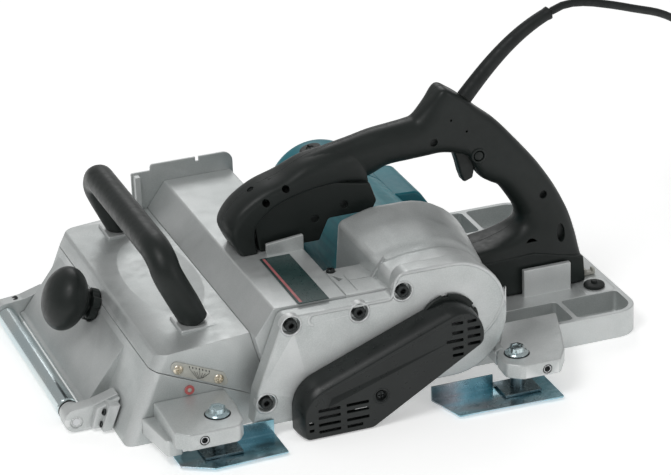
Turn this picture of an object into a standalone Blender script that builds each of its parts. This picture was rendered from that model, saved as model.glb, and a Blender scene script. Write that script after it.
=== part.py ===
"""Electric hand planer for timbers up to 312 mm wide, as an assembly of separate pieces.

All sizes below are millimetres in the planer's own frame: x runs from the front roller to the
back, y across the sole (the belt side is -y), z up from the sole.  One empty carries every piece
and moves that frame so that the scene's origin is under the middle of the planer.
"""
import math

import bmesh
import bpy
from mathutils import Matrix, Vector

MM = 0.001
GAP = 0.3

# --- driving dimensions ---------------------------------------------------------------------
FRAME_SHIFT = Vector((-312.0, 44.5, 0.0))
SOLE_BACK = 626.0
SOLE_HALF = 159.0
TRAY_WALL = 29.7
TRAY_FLOOR = 6.0
HOUSING_NEAR = -180.0
HOUSING_FAR = 162.0

# the inclined parting plane along which the front base slides
TILT = math.radians(24.0)
SEAM = Vector((77.0, 0.0, 79.0))
BASE_TOE = 44.0
BASE_HEEL = 203.0
LID_TOP_FRONT = 93.0
LID_TOP_BACK = 101.0

# drum and motor shafts run across the planer
DRUM_AXIS = Vector((240.0, 0.0, 33.0))
DRUM_RADIUS = 30.5
CUTTING_RADIUS = 32.8
BLADE_LENGTH = 312.0
DRUM_SHAFT = 8.0
DRUM_TURN = math.radians(35.0)
MOTOR_AXIS = Vector((380.0, 0.0, 87.0))
MOTOR_SHAFT = 7.0
DRUM_PULLEY = 17.0
MOTOR_PULLEY = 22.0
PULLEY_NEAR = -237.0
PULLEY_FAR = -219.0
BELT_THICKNESS = 2.5

# castings, from the belt side to the far side
COVER_NEAR = -243.0
PLATE_NEAR = -216.0
PLATE_FAR = -196.0
CASING_TOP = 130.0
HUMP_FAR = -74.0
MOTOR_RADIUS = 57.0
MOTOR_BORE = 53.0
MOTOR_FAR = 182.0
BRUSH_Y = 135.0
BRUSH_LEAN = math.radians(14.4)

# handle
HANDLE_Y = -42.0
GRIP_HALF = 18.0
TOE_HALF = 25.0
FOOT_HALF = 33.0
TRIGGER_PIVOT = Vector((470.0, HANDLE_Y, 204.0))
LOCK_POINT = Vector((483.0, -61.5, 192.0))

# front roller, front grip and depth knob
ROLLER_AXIS = Vector((11.0, 0.0, 12.0))
ROLLER_RADIUS = 11.0
ROLLER_NEAR = -98.0
ROLLER_FAR = 144.0
GRIP_TUBE = 15.5
KNOB_CENTRE = Vector((42.0, 5.0, 87.0))
KNOB_RADIUS = 34.0

# guides on the belt side
GUIDE_PLATE_Z = 3.0
GUIDE_PLATE = 2.0
FRONT_BOLT = Vector((128.0, -230.0, 0.0))
REAR_BOLT = Vector((450.0, -230.0, 0.0))
BRACKET_TOP = 45.0

# cord
CORD_RADIUS = 4.25
CORD_ROUTE = [
    (575.8, -42.0, 333.2), (589.0, -42.0, 337.6), (603.0, -42.0, 338.2), (620.0, -41.5, 335.6),
    (637.5, -40.0, 330.6), (655.0, -38.0, 325.0), (678.0, -34.0, 316.5), (696.0, -30.0, 310.0),
    (715.0, -25.0, 301.5), (738.0, -17.0, 286.0), (760.0, -8.0, 262.0), (779.0, 1.0, 228.0),
    (794.0, 9.0, 186.0), (806.0, 16.0, 140.0), (816.0, 22.0, 96.0), (827.0, 28.0, 56.0),
    (842.0, 35.0, 26.0), (863.0, 41.8, 10.0), (884.0, 47.2, 5.0), (903.6, 52.1, 4.4),
]
COIL_TURNS_RADIUS = 51.1
COIL_HALF_WIDTH = 13.4
COIL_HEIGHT = 35.0
COIL_CENTRE = Vector((921.2, 118.3, 0.0))


# --- helpers --------------------------------------------------------------------------------
for leftover in list(bpy.data.objects):
    bpy.data.objects.remove(leftover, do_unlink=True)

PARTS = bpy.data.collections.new("hand_planer")
CUTTERS = bpy.data.collections.new("cutters")
bpy.context.scene.collection.children.link(PARTS)
bpy.context.scene.collection.children.link(CUTTERS)

FRAME = bpy.data.objects.new("planer_frame", None)
FRAME.location = FRAME_SHIFT * MM
PARTS.objects.link(FRAME)

ALONG_Y = Matrix.Rotation(math.radians(-90.0), 4, "X")
SLIDE_DIRECTION = Vector((-math.cos(TILT), 0.0, math.sin(TILT)))

SILVER = ((0.50, 0.53, 0.52), 0.42, 0.55)
BLACK = ((0.020, 0.023, 0.022), 0.45, 0.0)
TEAL = ((0.0, 0.16, 0.20), 0.40, 0.0)
STEEL = ((0.62, 0.63, 0.64), 0.28, 1.0)
ZINC = ((0.55, 0.64, 0.67), 0.25, 1.0)
BRASS = ((0.70, 0.55, 0.28), 0.30, 1.0)
COPPER = ((0.72, 0.36, 0.20), 0.35, 1.0)
CARBON = ((0.03, 0.03, 0.03), 0.60, 0.0)
CREAM = ((0.78, 0.74, 0.62), 0.50, 0.0)
RED = ((0.55, 0.06, 0.06), 0.50, 0.0)
LABEL = ((0.015, 0.05, 0.045), 0.35, 0.0)


def paint(obj, finish):
    """Give a piece its own Principled material."""
    colour, roughness, metallic = finish
    material = bpy.data.materials.new(obj.name + "_finish")
    material.use_nodes = True
    shader = material.node_tree.nodes["Principled BSDF"]
    shader.inputs["Base Color"].default_value = (*colour, 1.0)
    shader.inputs["Roughness"].default_value = roughness
    shader.inputs["Metallic"].default_value = metallic
    obj.data.materials.clear()
    obj.data.materials.append(material)


def adopt(obj, finish):
    """Put a finished solid among the parts, or among the cutters if it has no finish."""
    obj.parent = FRAME
    if finish is None:
        CUTTERS.objects.link(obj)
        obj.hide_render = True
        obj.display_type = "WIRE"
    else:
        PARTS.objects.link(obj)
        paint(obj, finish)
    return obj


def rounded(corners, steps=4):
    """Points of a polygon whose corners (a, b, radius) are rounded by arcs."""
    points = []
    count = len(corners)
    for index, corner in enumerate(corners):
        here = Vector(corner[:2])
        radius = corner[2] if len(corner) > 2 else 0.0
        if radius <= 0.0:
            points.append(here)
            continue
        before = (Vector(corners[index - 1][:2]) - here).normalized()
        after = (Vector(corners[(index + 1) % count][:2]) - here).normalized()
        half = before.angle(after) / 2.0
        reach = radius / math.tan(half)
        centre = here + (before + after).normalized() * (radius / math.sin(half))
        start = here + before * reach - centre
        sweep = start.angle_signed(here + after * reach - centre)
        for step in range(steps + 1):
            points.append(centre + Matrix.Rotation(-sweep * step / steps, 2) @ start)
    return points


def weld(obj, matrix):
    """Turn a curve object into a closed mesh object that stands where matrix says."""
    PARTS.objects.link(obj)
    bpy.context.view_layer.update()
    evaluated = obj.evaluated_get(bpy.context.evaluated_depsgraph_get())
    mesh = bpy.data.meshes.new_from_object(evaluated)
    name = obj.name
    curve = obj.data
    bpy.data.objects.remove(obj, do_unlink=True)
    bpy.data.curves.remove(curve)
    mesh.transform(matrix)
    solid = bmesh.new()
    solid.from_mesh(mesh)
    bmesh.ops.remove_doubles(solid, verts=solid.verts, dist=0.00001)
    bmesh.ops.recalc_face_normals(solid, faces=solid.faces)
    solid.to_mesh(mesh)
    solid.free()
    mesh.name = name
    return bpy.data.objects.new(name, mesh)


def plate(name, corners, low, high, finish=None, across="Y", steps=4):
    """A flat outline with rounded corners, made as thick as from low to high along one axis."""
    curve = bpy.data.curves.new(name, "CURVE")
    curve.dimensions = "2D"
    curve.fill_mode = "BOTH"
    curve.extrude = (high - low) / 2.0 * MM
    points = rounded(corners, steps)
    spline = curve.splines.new("POLY")
    spline.points.add(len(points) - 1)
    for slot, point in zip(spline.points, points):
        slot.co = (point.x * MM, point.y * MM, 0.0, 1.0)
    spline.use_cyclic_u = True
    middle = (low + high) / 2.0 * MM
    if across == "Y":
        matrix = Matrix.Translation((0.0, middle, 0.0)) @ Matrix.Rotation(math.pi / 2.0, 4, "X")
    else:
        matrix = Matrix.Translation((0.0, 0.0, middle))
    return adopt(weld(bpy.data.objects.new(name, curve), matrix), finish)


def box(name, low, high, finish=None, turn=None):
    """A block between two corners; turn is a matrix that moves it afterwards."""
    low = Vector(low) * MM
    high = Vector(high) * MM
    mesh = bpy.data.meshes.new(name)
    solid = bmesh.new()
    bmesh.ops.create_cube(solid, size=1.0)
    bmesh.ops.scale(solid, vec=high - low, verts=solid.verts)
    bmesh.ops.translate(solid, vec=(high + low) / 2.0, verts=solid.verts)
    if turn is not None:
        bmesh.ops.transform(solid, matrix=turn, verts=solid.verts)
    solid.to_mesh(mesh)
    solid.free()
    return adopt(bpy.data.objects.new(name, mesh), finish)


def turned(name, profile, place, direction=(0.0, 1.0, 0.0), finish=None, steps=24, closed=False):
    """A piece turned about an axis: profile is (radius, height), down the outer side."""
    mesh = bpy.data.meshes.new(name)
    points = [Vector((radius * MM, 0.0, height * MM)) for radius, height in profile]
    edges = [(index, index + 1) for index in range(len(points) - 1)]
    if closed:
        edges.append((len(points) - 1, 0))
    mesh.from_pydata(points, edges, [])
    obj = bpy.data.objects.new(name, mesh)
    obj.location = Vector(place) * MM
    obj.rotation_mode = "QUATERNION"
    obj.rotation_quaternion = Vector(direction).to_track_quat("Z", "Y")
    lathe = obj.modifiers.new("lathe", "SCREW")
    lathe.steps = steps
    lathe.render_steps = steps
    lathe.use_merge_vertices = True
    lathe.merge_threshold = 0.00001
    lathe.use_smooth_shade = True
    return adopt(obj, finish)


def rod(name, radius, low, high, place, direction=(0.0, 1.0, 0.0), finish=None, steps=24):
    """A plain cylinder from low to high along its axis."""
    mesh = bpy.data.meshes.new(name)
    solid = bmesh.new()
    bmesh.ops.create_cone(solid, cap_ends=True, cap_tris=False, segments=steps,
                          radius1=radius * MM, radius2=radius * MM, depth=(high - low) * MM)
    bmesh.ops.translate(solid, vec=(0.0, 0.0, (high + low) / 2.0 * MM), verts=solid.verts)
    solid.to_mesh(mesh)
    solid.free()
    obj = bpy.data.objects.new(name, mesh)
    obj.location = Vector(place) * MM
    obj.rotation_mode = "QUATERNION"
    obj.rotation_quaternion = Vector(direction).to_track_quat("Z", "Y")
    return adopt(obj, finish)


def ring(name, outer, inner, low, high, place, direction=(0.0, 1.0, 0.0), finish=None, steps=24):
    """A ring with a square section."""
    profile = [(outer, high), (outer, low), (inner, low), (inner, high)]
    return turned(name, profile, place, direction, finish, steps, closed=True)


def apply_boolean(target, tools, operation):
    for tool in tools:
        cut_step = target.modifiers.new(operation.lower() + "_" + tool.name, "BOOLEAN")
        cut_step.operation = operation
        cut_step.solver = "EXACT"
        cut_step.object = tool


def cut(target, *tools):
    apply_boolean(target, tools, "DIFFERENCE")


def join(target, *tools):
    apply_boolean(target, tools, "UNION")


def put_origin(obj, point):
    """Move an unrotated mesh object's origin to a point, leaving its shape where it is."""
    offset = Vector(point) * MM
    obj.data.transform(Matrix.Translation(-offset))
    obj.location = offset


def tube(name, points, radius, finish, sides=2, radii=None):
    """A round bar along a line of points."""
    curve = bpy.data.curves.new(name, "CURVE")
    curve.dimensions = "3D"
    curve.bevel_depth = radius * MM
    curve.bevel_resolution = sides
    curve.use_fill_caps = True
    spline = curve.splines.new("POLY")
    spline.points.add(len(points) - 1)
    for index, point in enumerate(points):
        spline.points[index].co = (*(Vector(point) * MM), 1.0)
        if radii:
            spline.points[index].radius = radii[index]
    return adopt(weld(bpy.data.objects.new(name, curve), Matrix.Identity(4)), finish)


def smooth_path(route, spacing):
    """Points at an even spacing on a Catmull-Rom curve through the route."""
    knots = [Vector(point) for point in route]
    knots.insert(0, knots[0] * 2.0 - knots[1])
    knots.append(knots[-1] * 2.0 - knots[-2])
    fine = []
    for a, b, c, d in zip(knots, knots[1:], knots[2:], knots[3:]):
        for step in range(20):
            t = step / 20.0
            fine.append(0.5 * (2.0 * b + (c - a) * t + (2.0 * a - 5.0 * b + 4.0 * c - d) * t * t
                               + (3.0 * b - a - 3.0 * c + d) * t * t * t))
    fine.append(knots[-2])
    points = [fine[0]]
    for point in fine[1:-1]:
        if (point - points[-1]).length >= spacing:
            points.append(point)
    if (fine[-1] - points[-1]).length < spacing / 2.0:
        points.pop()
    points.append(fine[-1])
    return points


def seam_height(x, lift=0.0):
    """Height of the inclined parting plane at x."""
    return SEAM.z - (x - SEAM.x) * math.tan(TILT) + lift


# --- rear base ------------------------------------------------------------------------------
def make_rear_base():
    base = plate("rear_base", [(277, -SOLE_HALF, 2), (SOLE_BACK, -SOLE_HALF, 24),
                               (SOLE_BACK, SOLE_HALF, 24), (277, SOLE_HALF, 2)],
                 0.0, TRAY_WALL, SILVER, across="Z")
    pockets = {
        "pocket_front": [(304, -150, 4), (452, -150, 4), (452, 150, 4), (304, 150, 4)],
        "pocket_near": [(460, -153, 4), (549, -153, 4), (549, -107, 4), (460, -107, 4)],
        "pocket_near_back": [(555, -153, 4), (620, -153, 20), (620, -107, 4), (555, -107, 4)],
        "pocket_far": [(460, 98, 4), (549, 98, 4), (549, 153, 4), (460, 153, 4)],
        "pocket_far_back": [(555, 98, 4), (620, 98, 4), (620, 153, 20), (555, 153, 4)],
        "pocket_middle": [(460, 0, 4), (549, 0, 4), (549, 92, 4), (460, 92, 4)],
        "pocket_middle_back": [(555, 0, 4), (620, 0, 4), (620, 92, 4), (555, 92, 4)],
    }
    tools = [plate(name, outline, TRAY_FLOOR, TRAY_WALL + 10.0, across="Z", steps=2)
             for name, outline in pockets.items()]
    cut(base, *tools)
    join(base, box("handle_stay_wall", (523, -84, 20), (578, -78, 61)))
    cut(base, rod("buffer_hole", 6.3, 14, 60, (603, -89, 0), (0, 0, 1), steps=16))
    return base


def make_buffer():
    turned("rear_buffer", [(0, 34), (8, 34), (11.5, 32.5), (11.5, 30), (6, 30), (6, 14.5), (0, 14.5)],
           (603, -89, 0), (0, 0, 1), BLACK, steps=20)


# --- front base, roller and depth knob -----------------------------------------------------------
def make_front_base():
    base = plate("front_base", [(BASE_TOE, 0, 3), (BASE_HEEL, 0, 1),
                                (BASE_HEEL, seam_height(BASE_HEEL)), (SEAM.x, SEAM.z, 1)],
                 HOUSING_NEAR, HOUSING_FAR, SILVER, steps=2)
    join(base, plate("lip", [(30, 9, 3), (60, 2), (80, 70), (74, 72), (30, 15, 1)],
                     ROLLER_NEAR + 1, ROLLER_FAR - 1, steps=2))
    cut(base, plate("base_hollow", [(54.5, 7), (195, 7), (195, 95), (92.2, 95)],
                    HOUSING_NEAR + 8, HOUSING_FAR - 8))
    cut(base, rod("knob_seat", 18.5, -35.2, 30, KNOB_CENTRE, SLIDE_DIRECTION))
    cut(base, rod("knob_shaft_hole", 6.3, -20, 40, KNOB_CENTRE - SLIDE_DIRECTION * 40.0,
                  -SLIDE_DIRECTION, steps=16))
    return base


def make_roller():
    rod("roller_axle", 4.0, -127, 159, ROLLER_AXIS, finish=STEEL, steps=12)
    ring("front_roller", ROLLER_RADIUS, 4.3, ROLLER_NEAR, ROLLER_FAR, ROLLER_AXIS, finish=ZINC)
    nose = 13.0
    lean = (SEAM - Vector((BASE_TOE, 0, 0))).normalized()
    foot = Vector((BASE_TOE - 0.8, 0.0, 1.2))
    head = foot + lean * 38.0
    outline = [(ROLLER_AXIS.x - nose, ROLLER_AXIS.z - nose + 2, nose - 0.5), (foot.x, foot.z, 1),
               (head.x, head.z, 2), (30, 28, 8), (ROLLER_AXIS.x - nose, ROLLER_AXIS.z + nose, nose - 0.5)]
    for name, low, high in (("roller_arm_near", -128.0, -112.0), ("roller_arm_far", 144.3, 160.0)):
        arm = plate(name, outline, low, high, SILVER)
        if low < 0:
            join(arm, rod("roller_spacer", 11.0, high - 1, ROLLER_NEAR - 2, ROLLER_AXIS))
        cut(arm, rod(name + "_bore", 4.3, low - 5, high + 20, ROLLER_AXIS, steps=12))
        put_origin(arm, ROLLER_AXIS + Vector((0, low, 0)))


def make_depth_knob():
    half = KNOB_RADIUS * 0.65
    ball = []
    for step in range(9):
        angle = math.radians(90.0 - step * 18.0)
        ball.append((KNOB_RADIUS * math.cos(angle), half * math.sin(angle)))
    ball = ball + [(15, -half * 0.95), (17.5, -half - 6), (17.5, -half - 12), (9, -half - 12.5), (0, -half - 12.5)]
    knob = turned("depth_knob", ball, KNOB_CENTRE, SLIDE_DIRECTION, BLACK)
    cut(knob, rod("knob_bore", 6.3, -60, -12, KNOB_CENTRE, SLIDE_DIRECTION, steps=16))
    rod("depth_screw", 6.0, -118, -12.3, KNOB_CENTRE, SLIDE_DIRECTION, STEEL, steps=16)


# --- front housing, casing and their covers ----------------------------------------------------------
def make_front_housing():
    lift = 0.4
    outline = [(77.4, seam_height(77.4, lift) + 0.6), (84.5, LID_TOP_FRONT, 5),
               (181.6, LID_TOP_BACK), (189.6, 70), (202, 42), (202, seam_height(202, lift))]
    housing = plate("front_housing", outline, HOUSING_NEAR, HOUSING_FAR, SILVER)
    hollow = [(88, 60), (92, 87), (175, 94), (182, 69), (194, 42), (194, 10), (140, 0), (80, 40)]
    cut(housing, plate("housing_hollow", hollow, HOUSING_NEAR + 6, HOUSING_FAR - 6))
    lug = plate("screw_lug", [(136, 26), (147, 22), (147, 97), (136, 96)], -13.0, 23.0)
    join(housing, lug)
    cut(housing, rod("screw_hole", 6.3, -140, -80, KNOB_CENTRE, SLIDE_DIRECTION, steps=16))
    for name, y in (("grip_boss_near", -126.0), ("grip_boss_far", 127.0)):
        join(housing, rod(name, 20.0, 85.0, 99.5, (141, y, 0), (0, 0, 1), steps=20))
    return housing


def make_front_grip():
    foot_z = 100.0
    route = [(141, -126, foot_z), (134, -125, 116), (118.5, -121, 150), (115.5, -113, 164), (114, -98, 171.5),
             (113.5, -78, 173), (113.5, 79, 173), (114, 99, 171.5), (115.5, 114, 164),
             (118.5, 122, 150), (134, 126, 116), (141, 127, foot_z)]
    grip = tube("front_grip", smooth_path(route, 12.0), GRIP_TUBE, BLACK, sides=3)
    cut(grip, box("grip_foot_trim", (100, -160, 80), (180, 160, 99.8)))
    return grip


# side views of the hump over the motor: low beside the belt side, high beside the handle
HUMP_LOW = [(318, 34, 2), (327, 141, 8), (352, 145, 30), (446, 150, 62), (446, 34, 25)]
HUMP_HIGH = [(304, 34, 2), (315, 158, 8), (350, 168, 60), (463, 168, 76), (463, 34, 30)]


def ruled(name, near_corners, near_y, far_corners, far_y, steps=8):
    """A solid ruled between two side-view outlines that have the same corners."""
    solid = bmesh.new()
    rings = []
    for corners, y in ((near_corners, near_y), (far_corners, far_y)):
        rings.append([solid.verts.new(Vector((p.x, y, p.y)) * MM) for p in rounded(corners, steps)])
    near_ring, far_ring = rings
    count = len(near_ring)
    for index in range(count):
        after = (index + 1) % count
        solid.faces.new((near_ring[index], near_ring[after], far_ring[after]))
        solid.faces.new((near_ring[index], far_ring[after], far_ring[index]))
    solid.faces.new(near_ring)
    solid.faces.new(far_ring)
    bmesh.ops.recalc_face_normals(solid, faces=solid.faces)
    mesh = bpy.data.meshes.new(name)
    solid.to_mesh(mesh)
    solid.free()
    return adopt(bpy.data.objects.new(name, mesh), None)


def make_main_casing():
    body = [(206, 4, 2), (206, 41), (190, 70), (182, LID_TOP_BACK), (203, CASING_TOP, 3),
            (280, CASING_TOP, 2), (280, 30), (276.7, 30), (276.7, 4, 2)]
    casing = plate("main_casing", body, PLATE_FAR + GAP, HOUSING_FAR, SILVER)
    hump = ruled("hump", HUMP_LOW, PLATE_FAR + GAP, HUMP_HIGH, HUMP_FAR)
    pad = box("shoulder_pad", (279, PLATE_FAR + GAP, 31), (325, -131.0, CASING_TOP - 0.5))
    tie = box("casing_tie", (279, -133, 33), (318, HUMP_FAR - 1, 60))
    boss = rod("far_bearing_boss", 26.0, 160.0, 177.0, DRUM_AXIS)
    join(casing, hump, pad, tie, boss)
    chamber = rod("drum_chamber", 36.0, -159.0, 159.0, DRUM_AXIS)
    mouth = box("drum_mouth", (205, -158, -5), (277.5, 158, 30))
    throat = box("chip_throat", (206, -149, 50), (236, 149, 100))
    duct = plate("chip_duct", [(197, 84), (262, 84, 6), (262, 123, 6), (205, 123), (193, 101)],
                 -150.0, HOUSING_FAR + 5)
    cut(casing, chamber, mouth, throat, duct, box("pad_hollow", (285, -189, 20), (319, -137, 121)))
    cut(casing, rod("drum_bearing_seat_near", 17.8, -180.3, -150.0, DRUM_AXIS),
        rod("drum_bearing_seat_far", 17.8, 150.0, 174.3, DRUM_AXIS),
        rod("drum_shaft_hole", DRUM_SHAFT + 1.0, -200.0, -170.0, DRUM_AXIS),
        rod("motor_cavity", 60.0, -180.0, HUMP_FAR + 5, MOTOR_AXIS, steps=32),
        rod("motor_bearing_seat", 16.3, -192.3, -170.0, MOTOR_AXIS),
        rod("motor_shaft_hole", MOTOR_SHAFT + 1.5, -200.0, -185.0, MOTOR_AXIS))
    for index, (x, z) in enumerate(CASING_BOLTS):
        cut(casing, rod("casing_tap_%d" % index, 3.3, -200.0, -182.0, (x, 0, z), steps=10))
    return casing


CASING_BOLTS = [(213.5, 118), (286, 118), (333, 132), (184, 38)]


def make_side_casing():
    outline = [(169, 12, 4), (290, 12, 10), (340, 26, 20), (446, 26, 60), (446, 153, 60),
               (330, 153, 12), (325, CASING_TOP - 4), (206, CASING_TOP - 3, 5), (175, 50, 10)]
    side = plate("side_casing", outline, PLATE_NEAR, PLATE_FAR, SILVER, steps=6)
    cut(side, rod("side_drum_hole", 16.0, -225.0, -190.0, DRUM_AXIS),
        rod("side_motor_hole", 31.0, -225.0, -190.0, MOTOR_AXIS))
    for index, (x, z) in enumerate(CASING_BOLTS):
        cut(side, rod("bolt_hole_%d" % index, 3.3, -225.0, -190.0, (x, 0, z), steps=10),
            rod("bolt_recess_%d" % index, 9.0, -225.0, -209.4, (x, 0, z), steps=16))
        turned("casing_bolt_%d" % (index + 1),
               [(0, -189), (3, -189), (3, -209.7), (6.5, -209.7), (6.5, -216), (0, -216)],
               (x, 0, z), (0, 1, 0), BLACK, steps=10)
    return side


def make_belt_cover():
    outer = [(210, 1, 6), (288, 1, 12), (411, 71.7, 10), (411, 129.8, 32.5), (210, 52.5, 36)]
    inner = [(212, 3, 4), (287.5, 3, 11), (409, 72.8, 9), (409, 126.9, 30.5), (212, 51.1, 34)]
    cover = plate("belt_cover", outer, COVER_NEAR, PLATE_NEAR - GAP, BLACK, steps=6)
    cut(cover, plate("cover_hollow", inner, COVER_NEAR + 2.5, PLATE_NEAR + 5, steps=6))
    for index in range(5):
        low, high = 6.5 + index * 7.4, 62.0 + index * 8.0
        cut(cover, box("slot_low_%d" % index, (229, -250, low), (252, -235, low + 3.4)),
            box("slot_mid_%d" % index, (259, -250, low), (281, -235, low + 3.4)),
            box("slot_high_%d" % index, (370, -250, high), (386, -235, high + 3.4)))
        if index:
            cut(cover, box("slot_end_%d" % index, (391, -250, high), (402, -235, high + 3.4)))
    return cover


def make_outlet_lip():
    lip = plate("outlet_lip", [(166, 80, 2), (283, 80, 6), (283, 151, 10), (188, 151, 2), (188, 144),
                               (166, 144, 2)], HOUSING_FAR + GAP, HOUSING_FAR + 3.0, SILVER)
    cut(lip, plate("lip_opening", [(197, 84), (262, 84, 6), (262, 123, 6), (205, 123), (193, 101)],
                   HOUSING_FAR - 5, HOUSING_FAR + 8))
    return lip


# --- motor ------------------------------------------------------------------------------------------
def brush_direction():
    return Vector((-math.sin(BRUSH_LEAN), 0.0, math.cos(BRUSH_LEAN)))


def make_motor_housing():
    far = MOTOR_FAR
    profile = [(0, far), (38, far), (50, far - 4), (MOTOR_RADIUS, far - 14), (MOTOR_RADIUS, HUMP_FAR + GAP),
               (MOTOR_BORE, HUMP_FAR + GAP), (MOTOR_BORE, far - 26), (MOTOR_BORE - 8, far - 22),
               (16.3, far - 22), (16.3, far - 9), (0, far - 9)]
    housing = turned("motor_housing", profile, MOTOR_AXIS, finish=TEAL, steps=32)
    centre = MOTOR_AXIS + Vector((0, BRUSH_Y, 0))
    for side, name in ((1.0, "front"), (-1.0, "back")):
        direction = brush_direction() * side
        join(housing, rod("brush_tube_" + name, 14.0, 44.0, 61.0, centre, direction, steps=20))
        cut(housing, rod("brush_bore_" + name, 9.3, 38.0, 70.0, centre, direction, steps=16))
        turned("brush_cap_" + name, [(0, 65), (10, 65), (12.5, 63.5), (12.5, 61.3), (9, 61.3), (9, 52), (0, 52)],
               centre, direction, BLACK, steps=16)
        rod("carbon_brush_" + name, 5.5, 18.4, 51.5, centre, direction, CARBON, steps=8)
    air_box = plate("air_box", [(400, 62), (462, 62, 6), (462, 104, 8), (446, 128, 8), (405, 130)], 20.0, 102.0)
    join(housing, air_box)
    cut(housing, rod("motor_bore", MOTOR_BORE + 0.2, HUMP_FAR - 5, 103.0, MOTOR_AXIS, steps=32))
    return housing


def make_motor():
    ring("stator", 52.6, 38.0, -5.0, 70.0, MOTOR_AXIS, finish=STEEL, steps=32)
    core = [(0, 171), (MOTOR_SHAFT, 171), (MOTOR_SHAFT, 70), (37, 68), (37, -3), (MOTOR_SHAFT, -5),
            (MOTOR_SHAFT, PULLEY_NEAR), (0, PULLEY_NEAR)]
    turned("armature", core, MOTOR_AXIS, finish=STEEL)
    bore = MOTOR_SHAFT + GAP
    ring("commutator", 18.0, bore, 123.0, 147.0, MOTOR_AXIS, finish=COPPER)
    fan = turned("cooling_fan", [(20, -38), (20, -55), (46, -57), (46, -60), (bore, -60), (bore, -38)],
                 MOTOR_AXIS, finish=BLACK, closed=True)
    for index in range(8):
        turn = Matrix.Translation(MOTOR_AXIS * MM) @ Matrix.Rotation(index * math.pi / 4.0, 4, "Y")
        join(fan, box("fan_blade_%d" % index, (16, -58.5, -1.5), (44.5, -41, 1.5), turn=turn))
    ring("motor_pulley", MOTOR_PULLEY, bore, PULLEY_NEAR, PULLEY_FAR, MOTOR_AXIS, finish=STEEL)
    ring("motor_bearing_near", 16.0, bore, -192.0, -181.0, MOTOR_AXIS, finish=STEEL, steps=20)
    ring("motor_bearing_far", 16.0, bore, 160.3, 171.0, MOTOR_AXIS, finish=STEEL, steps=20)


# --- cutter drum ------------------------------------------------------------------------------------
def make_drum():
    drum = turned("cutter_drum", [(0, 171), (DRUM_SHAFT, 171), (DRUM_SHAFT, 157), (DRUM_RADIUS, 156),
                                  (DRUM_RADIUS, -156), (DRUM_SHAFT, -157), (DRUM_SHAFT, PULLEY_NEAR),
                                  (0, PULLEY_NEAR)], DRUM_AXIS, finish=STEEL, steps=32)
    half = BLADE_LENGTH / 2.0
    for index in range(2):
        angle = DRUM_TURN + index * math.pi
        turn = Matrix.Translation(DRUM_AXIS * MM) @ Matrix.Rotation(angle, 4, "Y")
        cut(drum, box("blade_slot_%d" % index, (-4, -170, 15), (6.2, 170, 40), turn=turn))
        blade = box("blade_%d" % (index + 1), (-3.7, -half, 15.3), (-0.7, half, CUTTING_RADIUS - 0.1),
                    STEEL, turn)
        wedge = box("blade_clamp_%d" % (index + 1), (-0.4, -half, 15.3), (5.9, half, 28.6), STEEL, turn)
        put_origin(blade, DRUM_AXIS)
        put_origin(wedge, DRUM_AXIS)
    bore = DRUM_SHAFT + GAP
    ring("drum_pulley", DRUM_PULLEY, bore, PULLEY_NEAR, PULLEY_FAR, DRUM_AXIS, finish=STEEL)
    ring("drum_bearing_near", 17.5, bore, -180.0, -168.0, DRUM_AXIS, finish=STEEL, steps=20)
    ring("drum_bearing_far", 17.5, bore, 161.0, 173.0, DRUM_AXIS, finish=STEEL, steps=20)


def belt_line(extra, steps=8):
    """Closed line that wraps both pulleys at a distance from their rims."""
    low = Vector((DRUM_AXIS.x, DRUM_AXIS.z))
    high = Vector((MOTOR_AXIS.x, MOTOR_AXIS.z))
    along = (high - low).normalized()
    across = Vector((-along.y, along.x))
    lean = math.asin((MOTOR_PULLEY - DRUM_PULLEY) / (high - low).length)
    points = []
    for centre, radius, start in ((high, MOTOR_PULLEY + extra, math.pi / 2.0 + lean),
                                  (low, DRUM_PULLEY + extra, -math.pi / 2.0 - lean)):
        sweep = -2.0 * start if centre is high else -(2.0 * math.pi + 2.0 * start)
        for step in range(steps + 1):
            angle = start + sweep * step / steps
            point = centre + (along * math.cos(angle) + across * math.sin(angle)) * radius
            points.append((point.x, point.y))
    return points


def make_belt():
    belt = plate("drive_belt", belt_line(GAP + 0.4 + BELT_THICKNESS), PULLEY_NEAR + 1, PULLEY_FAR - 1, BLACK)
    cut(belt, plate("belt_loop", belt_line(GAP + 0.4), PULLEY_NEAR - 5, PULLEY_FAR + 5))


# --- handle --------------------------------------------------------------------------------------
HANDLE_OUTLINE = [
    (212, CASING_TOP + GAP, 4), (200, 160, 8), (217, 184, 14), (240, 198, 20), (268, 207, 20), (292, 219, 20),
    (345, 231, 40), (391, 238.5, 30), (416, 241.5, 14), (446, 272, 4), (460, 265, 1), (489, 241, 3),
    (509, 224, 20), (553, 172, 30), (575, 140, 30), (590, 107, 25), (598, 70, 20), (601, 30, 2),
    (466, 30, 2), (466, 84, 8), (506, 89, 10), (530, 101, 12), (532, 120, 10), (520, 135, 10), (508, 152, 8),
    (495, 158, 5), (484, 172, 3), (478, 190, 2), (452, 198.5, 4), (384, 195, 12), (360, 186, 6), (368, 164, 3),
    (362, 152, 3), (312, 152, 6), (302, CASING_TOP + GAP, 3),
]


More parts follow.
